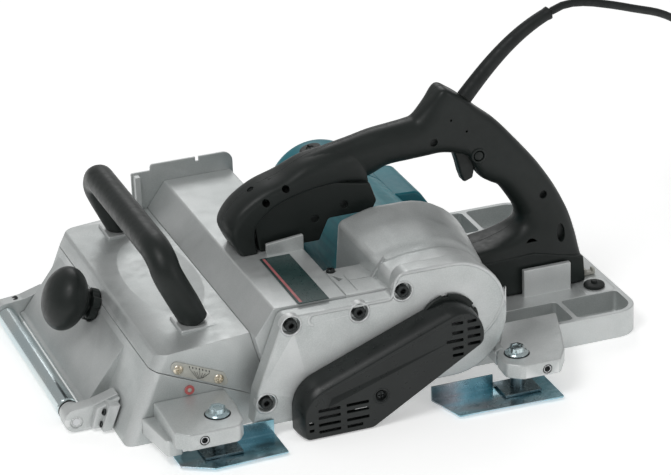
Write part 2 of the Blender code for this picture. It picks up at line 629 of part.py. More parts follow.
def make_handle():
    gap = GAP / 2.0
    sides = (("handle_near", HANDLE_Y - FOOT_HALF, HANDLE_Y - TOE_HALF, HANDLE_Y - GRIP_HALF, HANDLE_Y - gap),
             ("handle_far", HANDLE_Y + FOOT_HALF, HANDLE_Y + TOE_HALF, HANDLE_Y + GRIP_HALF, HANDLE_Y + gap))
    pockets = [
        plate("trigger_pocket", [(449, 190), (463, 150), (484, 150), (506, 176), (506, 216), (452, 216)],
              HANDLE_Y - 8.3, HANDLE_Y + 8.3),
        box("switch_pocket", (489.7, HANDLE_Y - 9.3, 177.7), (520.3, HANDLE_Y + 9.3, 206.3)),
    ]
    toe_outline = [(213, CASING_TOP + 0.8, 4), (201.3, 160, 8), (218, 183, 14), (240.5, 196.7, 20),
                   (268, 205.8, 20), (292, 217.7, 20), (330, 223, 10), (359, 200, 8), (359, 187, 3), (366, 165, 3),
                   (361, 154.5, 3), (309.5, 154.5, 5), (300.5, CASING_TOP + 0.8, 3)]
    foot_outline = [(467, 30.8, 2), (467, 74, 8), (540, 76, 6), (588, 60, 6), (597.5, 60, 2), (599.5, 30.8, 2)]
    for name, foot, toe, grip, inner in sides:
        half = plate(name, HANDLE_OUTLINE, min(grip, inner), max(grip, inner), BLACK, steps=3)
        sign = math.copysign(1.0, toe - inner)
        for extra, outline, outer in (("_toe", toe_outline, toe), ("_foot", foot_outline, foot)):
            start = inner + sign * 6.0
            join(half, plate(name + extra, outline, min(outer, start), max(outer, start), steps=3))
        cut(half, *pockets)
        if name == "handle_near":
            cut(half, rod("lock_hole", 5.8, -70, -48, (LOCK_POINT.x, 0, LOCK_POINT.z), steps=16))
    box("switch_body", (490, HANDLE_Y - 9, 178), (520, HANDLE_Y + 9, 206), BLACK)


def make_trigger():
    outline = [(457, 206, 3), (466, 173, 10), (471, 160, 3), (481, 164, 3), (485, 186, 6), (483, 210, 6)]
    trigger = plate("trigger", outline, HANDLE_Y - 7, HANDLE_Y + 7, BLACK)
    put_origin(trigger, TRIGGER_PIVOT)
    rod("lock_button", 5.5, 0, 9.0, LOCK_POINT, finish=BLACK, steps=16)


# --- guides -------------------------------------------------------------------------------------
def make_guides():
    near = HOUSING_NEAR - GAP
    front = plate("front_bracket", [(77, near), (77, -262, 6), (146, -262, 6), (152, -215, 4), (152, near)],
                  27.0, BRACKET_TOP, SILVER, across="Z")
    leg = plate("front_bracket_leg", [(64, near), (72, -238), (90, -238), (100, near)], 12.0, 28.0, across="Z")
    join(front, leg)
    edge = -SOLE_HALF - GAP
    rear = plate("rear_bracket", [(466, edge), (429, -229, 8), (436, -260, 8), (490, -260, 4), (526, edge)],
                 29.0, BRACKET_TOP, SILVER, across="Z")
    join(rear, plate("rear_bracket_leg", [(476, edge), (472, -200), (506, -206), (516, edge)], 12.0, 30.0,
                     across="Z"))
    flat_z = (GUIDE_PLATE_Z, GUIDE_PLATE_Z + GUIDE_PLATE)
    shapes = (
        ("front", front, FRONT_BOLT, [(82, -219), (82, -247), (112, -265), (190, -262), (190, -217), (150, -217)],
         (150, 190)),
        ("rear", rear, REAR_BOLT, [(360, -217), (373, -262), (487, -266), (487, -212), (430, -212), (430, -217)],
         (360, 428)),
    )
    for name, bracket, bolt, outline, flange in shapes:
        cut(bracket, rod(name + "_bracket_hole", 5.4, 20, 60, bolt, (0, 0, 1), steps=16))
        top = BRACKET_TOP + GAP
        turned(name + "_guide_bolt", [(0, top + 10), (8, top + 10), (8, top + 3), (12, top + 2.5), (12, top),
                                      (5, top), (5, 2.7), (9, 2.7), (9, 0.5), (0, 0.5)],
               bolt, (0, 0, 1), ZINC, steps=16)
        clamp = box(name + "_clamp_plate", bolt + Vector((-20, -17, 5.3)), bolt + Vector((20, 17, 8.3)), ZINC)
        cut(clamp, rod(name + "_clamp_hole", 5.3, 0, 20, bolt, (0, 0, 1), steps=16))
        guide = plate(name + "_guide_plate", outline, *flat_z, ZINC, across="Z")
        upright = box(name + "_guide_flange", (flange[0], -219, flat_z[0] + 0.2), (flange[1], -217.2, 20))
        join(guide, upright)
        cut(guide, box(name + "_guide_slot", bolt + Vector((-5.4, -16, 0)), bolt + Vector((5.4, 16, 10))))
        put_origin(guide, bolt + Vector((0, 0, GUIDE_PLATE_Z)))


# --- small trim -----------------------------------------------------------------------------------
def make_trim():
    near = HOUSING_NEAR

    def along_seam(x, lift):
        return (x, seam_height(x) + lift)
    plate("depth_scale", [along_seam(104, 4.5), along_seam(162, 4.5), along_seam(162, 17), along_seam(104, 17)],
          near - 1.8, near - GAP, CREAM)
    x = 122.0
    plate("depth_pointer", [(x, seam_height(x) - 3), (x - 6, seam_height(x) - 12.5), (x + 6, seam_height(x) - 13)],
          near - 1.5, near - GAP, RED)
    box("type_plate", (228.5, -198, CASING_TOP + GAP), (261, -81, CASING_TOP + 1.5), LABEL)


# --- strain relief and cord ------------------------------------------------------------------------
def relief_path():
    start = Vector((475.2, HANDLE_Y, 253.6))
    out = Vector((0.66, 0.0, 0.75))
    end = Vector((575.0, HANDLE_Y, 332.9))
    along = Vector((0.93, 0.0, 0.36))
    points = []
    for step in range(11):
        t = step / 10.0
        a = start + out * 45.0
        b = end - along * 45.0
        points.append(start * (1 - t) ** 3 + a * 3 * t * (1 - t) ** 2 + b * 3 * t * t * (1 - t) + end * t ** 3)
    return points


def make_cord():
    path = relief_path()
    radii = [1.0 - 0.25 * index / (len(path) - 1) for index in range(len(path))]
    tube("strain_relief", path, 8.8, BLACK, sides=4, radii=radii)
    tube("cord", smooth_path(CORD_ROUTE, 19.0), CORD_RADIUS, BLACK)
    centre = COIL_CENTRE
    ring("cord_coil", COIL_TURNS_RADIUS + COIL_HALF_WIDTH, COIL_TURNS_RADIUS - COIL_HALF_WIDTH,
         0.0, COIL_HEIGHT, centre, (0, 0, 1), BLACK)
    middle = centre + Vector((COIL_TURNS_RADIUS, 0, COIL_HEIGHT + GAP + 13))
    plug = box("plug", middle + Vector((-18, 0, -13)), middle + Vector((18, 44, 13)), BLACK)
    for index in (-1, 1):
        join(plug, rod("plug_pin_%d" % index, 2.4, 40, 63, middle + Vector((9.5 * index, 0, 0)), steps=12))


make_rear_base()
make_buffer()
make_front_base()
make_roller()
make_depth_knob()
make_front_housing()
make_front_grip()
make_main_casing()
make_side_casing()
make_belt_cover()
make_outlet_lip()
make_motor_housing()
make_motor()
make_drum()
make_belt()
make_handle()
make_trigger()
make_guides()
make_trim()
make_cord()
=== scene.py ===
"""Electric hand planer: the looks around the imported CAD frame.

Lengths in the making functions are millimetres in the planer's own axes, x from the front roller
to the back, y from the belt side to the chip outlet and z up from the sole, as in the part.
"""
import math

import bmesh
import bpy
from mathutils import Matrix, Vector


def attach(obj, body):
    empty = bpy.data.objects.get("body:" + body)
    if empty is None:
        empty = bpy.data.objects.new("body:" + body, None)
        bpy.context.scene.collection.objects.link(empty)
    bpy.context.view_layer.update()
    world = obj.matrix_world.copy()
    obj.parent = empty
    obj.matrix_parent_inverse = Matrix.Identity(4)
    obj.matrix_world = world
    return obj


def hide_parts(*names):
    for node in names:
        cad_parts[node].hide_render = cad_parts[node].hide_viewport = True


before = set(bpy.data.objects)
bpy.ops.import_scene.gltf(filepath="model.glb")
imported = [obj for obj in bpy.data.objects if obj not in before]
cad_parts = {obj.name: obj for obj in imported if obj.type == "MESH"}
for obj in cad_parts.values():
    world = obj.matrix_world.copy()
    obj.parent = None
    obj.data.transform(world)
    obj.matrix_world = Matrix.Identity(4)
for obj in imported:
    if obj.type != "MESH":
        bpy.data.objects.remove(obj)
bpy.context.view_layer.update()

MM = 0.001
TO_ROW = Matrix.Translation((-0.312, 0.0445, 0.0)) @ Matrix.Scale(MM, 4)
TILT = math.radians(24.0)
SLIDE = Vector((-math.cos(TILT), 0.0, math.sin(TILT)))
KNOB = Vector((42.0, 5.0, 87.0))
DRUM = Vector((240.0, 0.0, 33.0))
MOTOR = Vector((380.0, 0.0, 87.0))
ROLLER = Vector((11.0, 0.0, 12.0))
HOUSING_NEAR = -180.0
HOUSING_FAR = 162.0
HANDLE_Y = -42.0
UP = Vector((0.0, 0.0, 1.0))
ACROSS = Vector((0.0, 1.0, 0.0))
NEARWARD = Vector((0.0, -1.0, 0.0))
ORIGIN = Vector((0.0, 0.0, 0.0))


def put(name, data):
    obj = bpy.data.objects.new(name, data)
    bpy.context.scene.collection.objects.link(obj)
    return obj


# --- camera ---
CAMERA_TURN = (-19.77, 24.22, -2.2)
CAMERA_PLACE = (-651.8, -2763.21, 1421.79)
SENSOR_WIDTH = 36.0
LENS = 162.0676


def make_camera():
    """Camera at a place in the planer's axes, turned by azimuth, elevation and roll in degrees."""
    azimuth, elevation, roll = (math.radians(angle) for angle in CAMERA_TURN)
    back = Vector((math.sin(azimuth) * math.cos(elevation), -math.cos(azimuth) * math.cos(elevation),
                   math.sin(elevation)))
    right = Vector((math.cos(azimuth), math.sin(azimuth), 0.0))
    up = back.cross(right)
    right, up = right * math.cos(roll) + up * math.sin(roll), up * math.cos(roll) - right * math.sin(roll)
    data = bpy.data.cameras.new("camera")
    data.sensor_width = SENSOR_WIDTH
    data.lens = LENS
    data.clip_end = 50.0
    camera = put("camera", data)
    place = Matrix((right, up, back)).transposed().to_4x4()
    place.translation = TO_ROW @ Vector(CAMERA_PLACE)
    camera.matrix_world = place
    bpy.context.scene.camera = camera


# --- mesh making ---
def rounded(corners, steps=5):
    """Points of a polygon whose corners (a, b, radius) are rounded by arcs."""
    points = []
    count = len(corners)
    for index, corner in enumerate(corners):
        here = Vector(corner[:2])
        radius = corner[2] if len(corner) > 2 else 0.0
        if radius <= 0.0:
            points.append(here)
            continue
        before = (Vector(corners[index - 1][:2]) - here).normalized()
        after = (Vector(corners[(index + 1) % count][:2]) - here).normalized()
        half = before.angle(after) / 2.0
        reach = radius / math.tan(half)
        centre = here + (before + after).normalized() * (radius / math.sin(half))
        start = here + before * reach - centre
        sweep = start.angle_signed(here + after * reach - centre)
        for step in range(steps + 1):
            points.append(centre + Matrix.Rotation(-sweep * step / steps, 2) @ start)
    return points


def new_object(solid):
    mesh = bpy.data.meshes.new("piece")
    bmesh.ops.recalc_face_normals(solid, faces=solid.faces)
    solid.to_mesh(mesh)
    solid.free()
    return put("piece", mesh)


def remove(obj):
    mesh = obj.data
    bpy.data.objects.remove(obj)
    bpy.data.meshes.remove(mesh)


def copy_of(obj):
    return put("piece", obj.data.copy())


def skin(solid, rings):
    """Faces between rings with equal numbers of points, closed at both ends."""
    for a, b in zip(rings, rings[1:]):
        for step in range(len(a)):
            after = (step + 1) % len(a)
            solid.faces.new((a[step], a[after], b[after], b[step]))
    solid.faces.new(rings[0])
    solid.faces.new(rings[-1])
    return new_object(solid)


def apply_modifiers(obj):
    bpy.context.view_layer.update()
    graph = bpy.context.evaluated_depsgraph_get()
    mesh = bpy.data.meshes.new_from_object(obj.evaluated_get(graph))
    old = obj.data
    obj.modifiers.clear()
    obj.data = mesh
    bpy.data.meshes.remove(old)
    return obj


def soften(obj, width, segments=2, angle=30.0):
    """Round the edges that are sharper than an angle."""
    if width > 0.0:
        bevel = obj.modifiers.new("edge", "BEVEL")
        bevel.width = width
        bevel.segments = segments
        bevel.limit_method = "ANGLE"
        bevel.angle_limit = math.radians(angle)
        bevel.use_clamp_overlap = True
        bevel.miter_outer = "MITER_ARC"
        apply_modifiers(obj)
    return obj


def prism(corners, low, high, edge=0.0, across="y", segments=2, steps=5):
    """An outline with rounded corners, as thick as from low to high along one axis."""
    solid = bmesh.new()
    place = {"y": lambda p: (p.x, low, p.y), "z": lambda p: (p.x, p.y, low), "x": lambda p: (low, p.x, p.y)}
    ring = [solid.verts.new(place[across](p)) for p in rounded(corners, steps)]
    face = solid.faces.new(ring)
    grown = bmesh.ops.extrude_face_region(solid, geom=[face])
    moved = [v for v in grown["geom"] if isinstance(v, bmesh.types.BMVert)]
    grow = {"y": (0, high - low, 0), "z": (0, 0, high - low), "x": (high - low, 0, 0)}[across]
    bmesh.ops.translate(solid, verts=moved, vec=grow)
    return soften(new_object(solid), edge, segments)


def block(low, high, edge=0.0, segments=2, turn=None):
    """A block between two corners with rounded edges; turn moves it afterwards."""
    low, high = Vector(low), Vector(high)
    solid = bmesh.new()
    bmesh.ops.create_cube(solid, size=1.0)
    bmesh.ops.scale(solid, vec=high - low, verts=solid.verts)
    bmesh.ops.translate(solid, vec=(high + low) / 2.0, verts=solid.verts)
    obj = soften(new_object(solid), edge, segments)
    if turn is not None:
        obj.data.transform(turn)
    return obj


def aim(place, direction):
    return Matrix.Translation(place) @ Vector(direction).to_track_quat("Z", "Y").to_matrix().to_4x4()


def lathe(profile, place, direction=ACROSS, steps=48, flutes=None):
    """A piece turned about an axis through place; profile is (radius, height) from top to bottom."""
    solid = bmesh.new()
    turn = aim(place, direction)
    rings = []
    for radius, height in profile:
        if radius <= 1e-6:
            rings.append([solid.verts.new(turn @ Vector((0, 0, height)))])
            continue
        ring = []
        for step in range(steps):
            angle = 2.0 * math.pi * step / steps
            r = radius * (flutes(angle, height) if flutes else 1.0)
            ring.append(solid.verts.new(turn @ Vector((r * math.cos(angle), r * math.sin(angle), height))))
        rings.append(ring)
    for a, b in zip(rings, rings[1:]):
        for step in range(max(len(a), len(b))):
            corners = [a[step % len(a)], a[(step + 1) % len(a)], b[(step + 1) % len(b)], b[step % len(b)]]
            unique = [v for i, v in enumerate(corners) if v not in corners[:i]]
            solid.faces.new(unique)
    for ring in (rings[0], rings[-1]):
        if len(ring) > 1 and profile[0] != profile[-1]:
            solid.faces.new(ring)
    if profile[0] == profile[-1] and len(rings[0]) > 1:
        bmesh.ops.remove_doubles(solid, verts=solid.verts, dist=1e-5)
    return new_object(solid)


def rod(radius, low, high, place, direction=ACROSS, edge=0.0, steps=40):
    """A round bar from low to high along its direction, with its two rims chamfered by edge."""
    if edge > 0.0:
        wall = [(radius - edge, high), (radius, high - edge), (radius, low + edge), (radius - edge, low)]
    else:
        wall = [(radius, high), (radius, low)]
    return lathe([(0, high), *wall, (0, low)], place, direction, steps)


def change(target, operation, tools):
    """One Boolean step for each tool, which is used up."""
    for tool in tools:
        step = target.modifiers.new("step", "BOOLEAN")
        step.operation = operation
        step.solver = "EXACT"
        step.object = tool
    apply_modifiers(target)
    for tool in tools:
        remove(tool)
    return target


def cut(target, *tools):
    return change(target, "DIFFERENCE", tools)


def join(target, *tools):
    return change(target, "UNION", tools)


def merge(target, *others):
    """Put several solids in one mesh without a Boolean."""
    solid = bmesh.new()
    solid.from_mesh(target.data)
    for other in others:
        solid.from_mesh(other.data)
        remove(other)
    solid.to_mesh(target.data)
    solid.free()
    return target


def sweep(points, radius, sides=24, radii=None):
    """A round bar along points; radii gives a factor of its radius at each point."""
    points = [Vector(p) for p in points]
    solid = bmesh.new()
    rings = []
    side = None
    for index, point in enumerate(points):
        ahead = points[min(index + 1, len(points) - 1)] - points[max(index - 1, 0)]
        ahead.normalize()
        if side is None:
            side = ahead.cross(UP if abs(ahead.z) < 0.9 else ACROSS).normalized()
        side = (side - ahead * side.dot(ahead)).normalized()
        over = side.cross(ahead)
        r = radius * (radii[index] if radii else 1.0)
        ring = []
        for step in range(sides):
            angle = 2.0 * math.pi * step / sides
            ring.append(solid.verts.new(point + side * (r * math.cos(angle)) + over * (r * math.sin(angle))))
        rings.append(ring)
    return skin(solid, rings)


def spline_rows(rows, between):
    """Catmull-Rom rows of numbers through the given rows."""
    knots = [[2.0 * a - b for a, b in zip(rows[0], rows[1])], *rows,
             [2.0 * a - b for a, b in zip(rows[-1], rows[-2])]]
    fine = []
    for four in zip(knots, knots[1:], knots[2:], knots[3:]):
        for step in range(between):
            t = step / between
            fine.append([0.5 * (2.0 * b + (c - a) * t + (2.0 * a - 5.0 * b + 4.0 * c - d) * t * t
                                + (3.0 * b - a - 3.0 * c + d) * t * t * t) for a, b, c, d in zip(*four)])
    return fine + [list(rows[-1])]


def smooth_path(route, spacing):
    """Points at an even spacing on a Catmull-Rom curve through the route."""
    fine = [Vector(row) for row in spline_rows(route, 20)]
    points = [fine[0]]
    for point in fine[1:-1]:
        if (point - points[-1]).length >= spacing:
            points.append(point)
    if (fine[-1] - points[-1]).length < spacing / 2.0:
        points.pop()
    return points + [fine[-1]]


def finish(obj, name, look, body="planer", replaces=(), smooth=35.0):
    """Scale a made piece into the row frame, shade it, and tie it to its body."""
    obj.name = name
    obj.data.name = name
    obj.data.transform(TO_ROW)
    obj.data.materials.clear()
    obj.data.materials.append(LOOKS[look])
    solid = bmesh.new()
    solid.from_mesh(obj.data)
    bmesh.ops.recalc_face_normals(solid, faces=solid.faces)
    solid.to_mesh(obj.data)
    solid.free()
    obj.data.shade_smooth()
    obj.data.set_sharp_from_angle(angle=math.radians(smooth))
    weigh = obj.modifiers.new("normals", "WEIGHTED_NORMAL")
    weigh.keep_sharp = True
    apply_modifiers(obj)
    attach(obj, body)
    if replaces:
        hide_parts(*replaces)
    return obj


# --- materials ---
class Nodes:
    """A short way to write one material's node tree."""

    def __init__(self, name, roughness, metallic=0.0, specular=0.5):
        self.material = bpy.data.materials.new(name)
        self.material.use_nodes = True
        self.tree = self.material.node_tree
        self.shader = self.tree.nodes["Principled BSDF"]
        self.shader.inputs["Roughness"].default_value = roughness
        self.shader.inputs["Metallic"].default_value = metallic
        self.shader.inputs["Specular IOR Level"].default_value = specular
        self.place = self.add("ShaderNodeTexCoord").outputs["Object"]

    def add(self, kind, **settings):
        node = self.tree.nodes.new(kind)
        for key, value in settings.items():
            setattr(node, key, value)
        return node

    def link(self, a, b):
        self.tree.links.new(a, b)

    def noise(self, scale, detail=4.0, stretch=None, roughness=0.55):
        node = self.add("ShaderNodeTexNoise")
        place = self.place
        if stretch:
            mapping = self.add("ShaderNodeMapping")
            self.link(place, mapping.inputs["Vector"])
            mapping.inputs["Scale"].default_value = stretch
            place = mapping.outputs["Vector"]
        self.link(place, node.inputs["Vector"])
        node.inputs["Scale"].default_value = scale
        node.inputs["Detail"].default_value = detail
        node.inputs["Roughness"].default_value = roughness
        return node.outputs["Fac"]

    def ramp(self, factor, stops):
        node = self.add("ShaderNodeValToRGB")
        self.link(factor, node.inputs["Fac"])
        ramp = node.color_ramp
        while len(ramp.elements) < len(stops):
            ramp.elements.new(0.5)
        for element, (at, colour) in zip(ramp.elements, stops):
            element.position = at
            element.color = (*colour, 1.0)
        return node.outputs["Color"]

    def spread(self, factor, low, high, start=0.35, end=0.65):
        node = self.add("ShaderNodeMapRange")
        self.link(factor, node.inputs["Value"])
        for key, value in (("From Min", start), ("From Max", end), ("To Min", low), ("To Max", high)):
            node.inputs[key].default_value = value
        return node.outputs["Result"]

    def mix(self, factor, a, b):
        node = self.add("ShaderNodeMix", data_type="RGBA")
        self.link(factor, node.inputs["Factor"])
        colour_sockets = [s for s in node.inputs if s.type == "RGBA"]
        for socket, value in zip(colour_sockets, (a, b)):
            if isinstance(value, tuple):
                socket.default_value = (*value, 1.0)
            else:
                self.link(value, socket)
        return [s for s in node.outputs if s.type == "RGBA"][0]

    def wear(self, low, high):
        """1 on convex edges and 0 on flat faces."""
        return self.spread(self.add("ShaderNodeNewGeometry").outputs["Pointiness"], 0.0, 1.0, low, high)

    def colour(self, value):
        self.link(value, self.shader.inputs["Base Color"])

    def rough(self, value):
        self.link(value, self.shader.inputs["Roughness"])

    def bump(self, heights, edge=0.0):
        """heights is a list of (factor, strength, distance in metres)."""
        normal = None
        if edge > 0.0:
            round_edge = self.add("ShaderNodeBevel", samples=4)
            round_edge.inputs["Radius"].default_value = edge
            normal = round_edge.outputs["Normal"]
        for factor, strength, distance in heights:
            node = self.add("ShaderNodeBump")
            node.inputs["Strength"].default_value = strength
            node.inputs["Distance"].default_value = distance
            self.link(factor, node.inputs["Height"])
            if normal is not None:
                self.link(normal, node.inputs["Normal"])
            normal = node.outputs["Normal"]
        self.link(normal, self.shader.inputs["Normal"])


# name, roughness, metallic, specular, then the colour's noise and its ramp, the roughness's noise
# and range, the bump's noise with its strength and height, and the radius of the rounded edge
PLAIN_LOOKS = {
    "zinc": ("zinc_plate", 0.22, 1.0, 0.5, (16.0, 2.0, (1.0, 0.5, 1.0)),
             [(0.25, (0.50, 0.64, 0.68)), (0.45, (0.58, 0.68, 0.70)), (0.6, (0.66, 0.71, 0.70)),
              (0.8, (0.54, 0.66, 0.71))], (40.0, 3.0, 0.17, 0.23), (500.0, 2.0, 0.02, 0.0002), 0.0004),
    "plate": ("passivated_plate", 0.24, 1.0, 0.5, (9.0, 3.0, (1.0, 2.4, 1.0)),
              [(0.30, (0.10, 0.16, 0.18)), (0.42, (0.20, 0.40, 0.47)), (0.52, (0.44, 0.64, 0.72)),
               (0.62, (0.56, 0.58, 0.62)), (0.74, (0.14, 0.20, 0.22))],
              (60.0, 4.0, 0.18, 0.30), (400.0, 2.0, 0.02, 0.0002), 0.0003),
    "zinc_dark": ("dark_zinc", 0.30, 1.0, 0.5, (40.0,),
                  [(0.3, (0.10, 0.14, 0.16)), (0.7, (0.26, 0.32, 0.34))], (200.0, 4.0, 0.22, 0.4),
                  (600.0, 3.0, 0.05, 0.0003), 0.0004),
    "brass": ("brass_screw", 0.28, 1.0, 0.5, (150.0,), [(0.3, (0.50, 0.42, 0.30)), (0.7, (0.78, 0.72, 0.60))],
              (400.0, 4.0, 0.2, 0.4), (900.0, 3.0, 0.06, 0.0002), 0.0003),
    "oxide": ("black_oxide", 0.38, 0.7, 0.5, (300.0,), [(0.3, (0.016, 0.018, 0.018)),
                                                        (0.7, (0.045, 0.05, 0.05))],
              (500.0, 4.0, 0.28, 0.5), (900.0, 3.0, 0.1, 0.0003), 0.0003),
    "rubber": ("black_rubber", 0.55, 0.0, 0.3, (60.0, 5.0),
               [(0.3, (0.006, 0.008, 0.008)), (0.7, (0.014, 0.017, 0.016))], (200.0, 4.0, 0.42, 0.6),
               (1800.0, 3.0, 0.15, 0.0002), 0.0),
    "copper": ("copper", 0.32, 1.0, 0.5, (80.0, 5.0), [(0.3, (0.58, 0.26, 0.14)), (0.7, (0.80, 0.42, 0.26))],
               None, (900.0, 2.0, 0.1, 0.0003), 0.0),
    "carbon": ("carbon", 0.7, 0.0, 0.5, (200.0, 5.0), [(0.3, (0.02, 0.02, 0.02)), (0.7, (0.05, 0.05, 0.05))],
               None, (1200.0, 2.0, 0.2, 0.0002), 0.0),
}
# printed and painted small parts
for key, name, dark, light, roughness in (
        ("cream", "aluminium_scale", (0.40, 0.40, 0.36), (0.52, 0.52, 0.47), 0.42),
        ("red", "red_ring", (0.48, 0.10, 0.10), (0.62, 0.17, 0.16), 0.42),
        ("label", "dark_label", (0.010, 0.034, 0.032), (0.016, 0.048, 0.045), 0.34),
        ("stripe", "label_stripe", (0.36, 0.10, 0.11), (0.46, 0.15, 0.15), 0.4)):
    PLAIN_LOOKS[key] = (name, roughness, 0.0, 0.5, (120.0, 5.0), [(0.3, dark), (0.7, light)],
                        (300.0, 4.0, roughness - 0.07, roughness + 0.1), (1400.0, 2.0, 0.05, 0.0002), 0.0003)


def make_materials():
    made = {}
    # sand-cast aluminium under a thin silver-grey lacquer
    m = Nodes("cast_silver", 0.42, 0.55)
    fine = m.noise(900.0, 3.0)
    blotch = m.noise(14.0, 5.0)
    body = m.ramp(blotch, [(0.3, (0.44, 0.47, 0.465)), (0.5, (0.50, 0.525, 0.52)),
                           (0.7, (0.56, 0.58, 0.575))])
    speck = m.mix(m.spread(fine, 0.0, 0.45, 0.40, 0.72), body, (0.68, 0.70, 0.695))
    m.colour(m.mix(m.wear(0.53, 0.62), speck, (0.74, 0.75, 0.75)))
    m.rough(m.spread(m.noise(60.0, 4.0), 0.36, 0.50))
    m.bump([(m.noise(1500.0, 2.0), 0.10, 0.0004), (m.noise(90.0, 4.0), 0.05, 0.0012)], 0.0012)
    made["silver"] = m.material
    # smooth black moulded plastic with a fine spark-eroded texture
    for key, colour, low, high, specular in (("black", (0.0085, 0.0115, 0.0105), 0.36, 0.48, 0.32),
                                             ("cover", (0.0095, 0.012, 0.0115), 0.27, 0.37, 0.36)):
        m = Nodes(key + "_plastic", 0.42, specular=specular)
        worn = m.mix(m.wear(0.54, 0.64), colour, tuple(c * 2.2 for c in colour))
        m.colour(m.mix(m.spread(m.noise(22.0), 0.0, 0.5), worn, tuple(c * 1.6 for c in colour)))
        m.rough(m.spread(m.noise(140.0), low, high))
        m.bump([(m.noise(2600.0, 2.0), 0.10, 0.0002), (m.noise(30.0, 2.0), 0.04, 0.001)], 0.0008)
        made[key] = m.material
    m = Nodes("teal_plastic", 0.38)
    body = m.ramp(m.noise(18.0), [(0.3, (0.0, 0.13, 0.17)), (0.7, (0.002, 0.18, 0.225))])
    m.colour(m.mix(m.wear(0.53, 0.62), body, (0.02, 0.26, 0.31)))
    m.rough(m.spread(m.noise(120.0), 0.32, 0.44))
    m.bump([(m.noise(2400.0, 2.0), 0.08, 0.0002)], 0.001)
    made["teal"] = m.material
    m = Nodes("turned_steel", 0.3, 1.0)
    lines = m.noise(40.0, 6.0, (1.0, 60.0, 1.0), 0.7)
    m.colour(m.ramp(lines, [(0.3, (0.42, 0.43, 0.44)), (0.6, (0.62, 0.63, 0.64)), (0.8, (0.72, 0.73, 0.73))]))
    m.rough(m.spread(lines, 0.22, 0.40))
    m.bump([(lines, 0.08, 0.0003)])
    made["steel"] = m.material
    for key, (name, roughness, metallic, specular, colours, stops, sheen, grain, edge) in PLAIN_LOOKS.items():
        m = Nodes(name, roughness, metallic, specular)
        m.colour(m.ramp(m.noise(*colours), stops))
        if sheen:
            m.rough(m.spread(m.noise(*sheen[:2]), *sheen[2:]))
        m.bump([(m.noise(*grain[:2]), *grain[2:])], edge)
        made[key] = m.material
    return made


# --- cord ---
CORD_ROUTE = [
    (575.8, -42.0, 333.2), (589.0, -42.0, 337.6), (603.0, -42.0, 338.2), (620.0, -41.5, 335.6),
    (637.5, -40.0, 330.6), (655.0, -38.0, 325.0), (678.0, -34.0, 316.5), (696.0, -30.0, 310.0),
    (715.0, -25.0, 301.5), (738.0, -17.0, 286.0), (760.0, -8.0, 262.0), (779.0, 1.0, 228.0),
    (794.0, 9.0, 186.0), (806.0, 16.0, 140.0), (816.0, 22.0, 96.0), (827.0, 28.0, 56.0),
    (842.0, 35.0, 26.0), (863.0, 41.8, 10.0), (884.0, 47.2, 5.0), (903.6, 52.1, 4.4),
]
CORD_RADIUS = 4.25
COIL = Vector((921.2, 118.3, 0.0))
COIL_RADIUS = 51.1
COIL_ENTRY = math.degrees(math.atan2(-0.970, 0.243))
PLUG = COIL + Vector((COIL_RADIUS, 0.0, 48.3))


def coil_points():
    """The turns of the put-away length: three side by side, four high, and the lead up to the plug."""
    pitch, rise, lowest = 8.8, 8.65, 4.4
    turn, change, spacing = 300.0, 90.0, 15.0
    lanes = []
    for level in range(4):
        row = [(COIL_RADIUS + k * pitch, lowest + level * rise) for k in (1, 0, -1)]
        lanes += row if level % 2 == 0 else row[::-1]
    lanes.append((COIL_RADIUS, PLUG.z))
    total = turn * (len(lanes) - 1) - COIL_ENTRY
    # each lane is left for the next one over a quarter turn
    changes = [turn * k - change for k in range(1, len(lanes) - 1)] + [total - change]
    count = round(total / spacing)
    points = []
    for step in range(count + 1):
        turned = total * step / count
        radius, height = lanes[0]
        for begin, before, after in zip(changes, lanes, lanes[1:]):
            t = min(1.0, max(0.0, (turned - begin) / change))
            ease = t * t * (3.0 - 2.0 * t)
            radius += (after[0] - before[0]) * ease
            height += (after[1] - before[1]) * ease
        angle = math.radians(COIL_ENTRY + turned)
        points.append(COIL + Vector((radius * math.cos(angle), radius * math.sin(angle), height)))
    return points


def make_cord():
    free = smooth_path(CORD_ROUTE, 12.0)
    turns = coil_points()
    line = free + [free[-1].lerp(turns[0], k / 3.0) for k in (1, 2)] + turns
    curve = bpy.data.curves.new("mains_cord", "CURVE")
    curve.dimensions = "3D"
    curve.bevel_depth = CORD_RADIUS * MM
    curve.bevel_resolution = 5
    curve.use_fill_caps = True
    spline = curve.splines.new("POLY")
    spline.points.add(len(line) - 1)
    for point, at in zip(spline.points, line):
        point.co = (*(TO_ROW @ at), 1.0)
    spline.use_smooth = True
    cord = put("mains_cord", curve)
    curve.materials.append(LOOKS["rubber"])
    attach(cord, "planer")
    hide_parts("cord", "cord_coil")
    length = sum((b - a).length for a, b in zip(line, line[1:])) * MM
    return cord, length


def make_plug():
    """A rewirable-looking two-pin plug with a ribbed flex entry, lying on the coil."""
    body = prism([(-17, 3, 5), (-17, 36, 6), (-14, 44, 2), (14, 44, 2), (17, 36, 6), (17, 3, 5), (9, -1, 3),
                  (-9, -1, 3)], -12.6, 12.6, 3.0, "z", 3)
    entry = lathe([(0, 14), (7.5, 14), (7.8, 8), (6.6, 6), (7.4, 3), (6.2, 1), (7.0, -2), (5.8, -4),
                   (6.5, -7), (5.4, -9), (5.2, -12), (0, -12)], ORIGIN, ACROSS, 24)
    screw = rod(3.0, 11.0, 12.9, (0, 20, 0), UP, 0.4, 16)
    body = merge(body, entry, screw)
    body.data.transform(Matrix.Translation(PLUG))
    pins = merge(*[rod(2.35, 43.0, 63.0, PLUG + Vector((x, 0, 0)), ACROSS, 0.9, 16) for x in (-9.5, 9.5)])
    return (finish(body, "mains_plug", "black", replaces=["plug"]), finish(pins, "mains_plug_pins", "steel"))


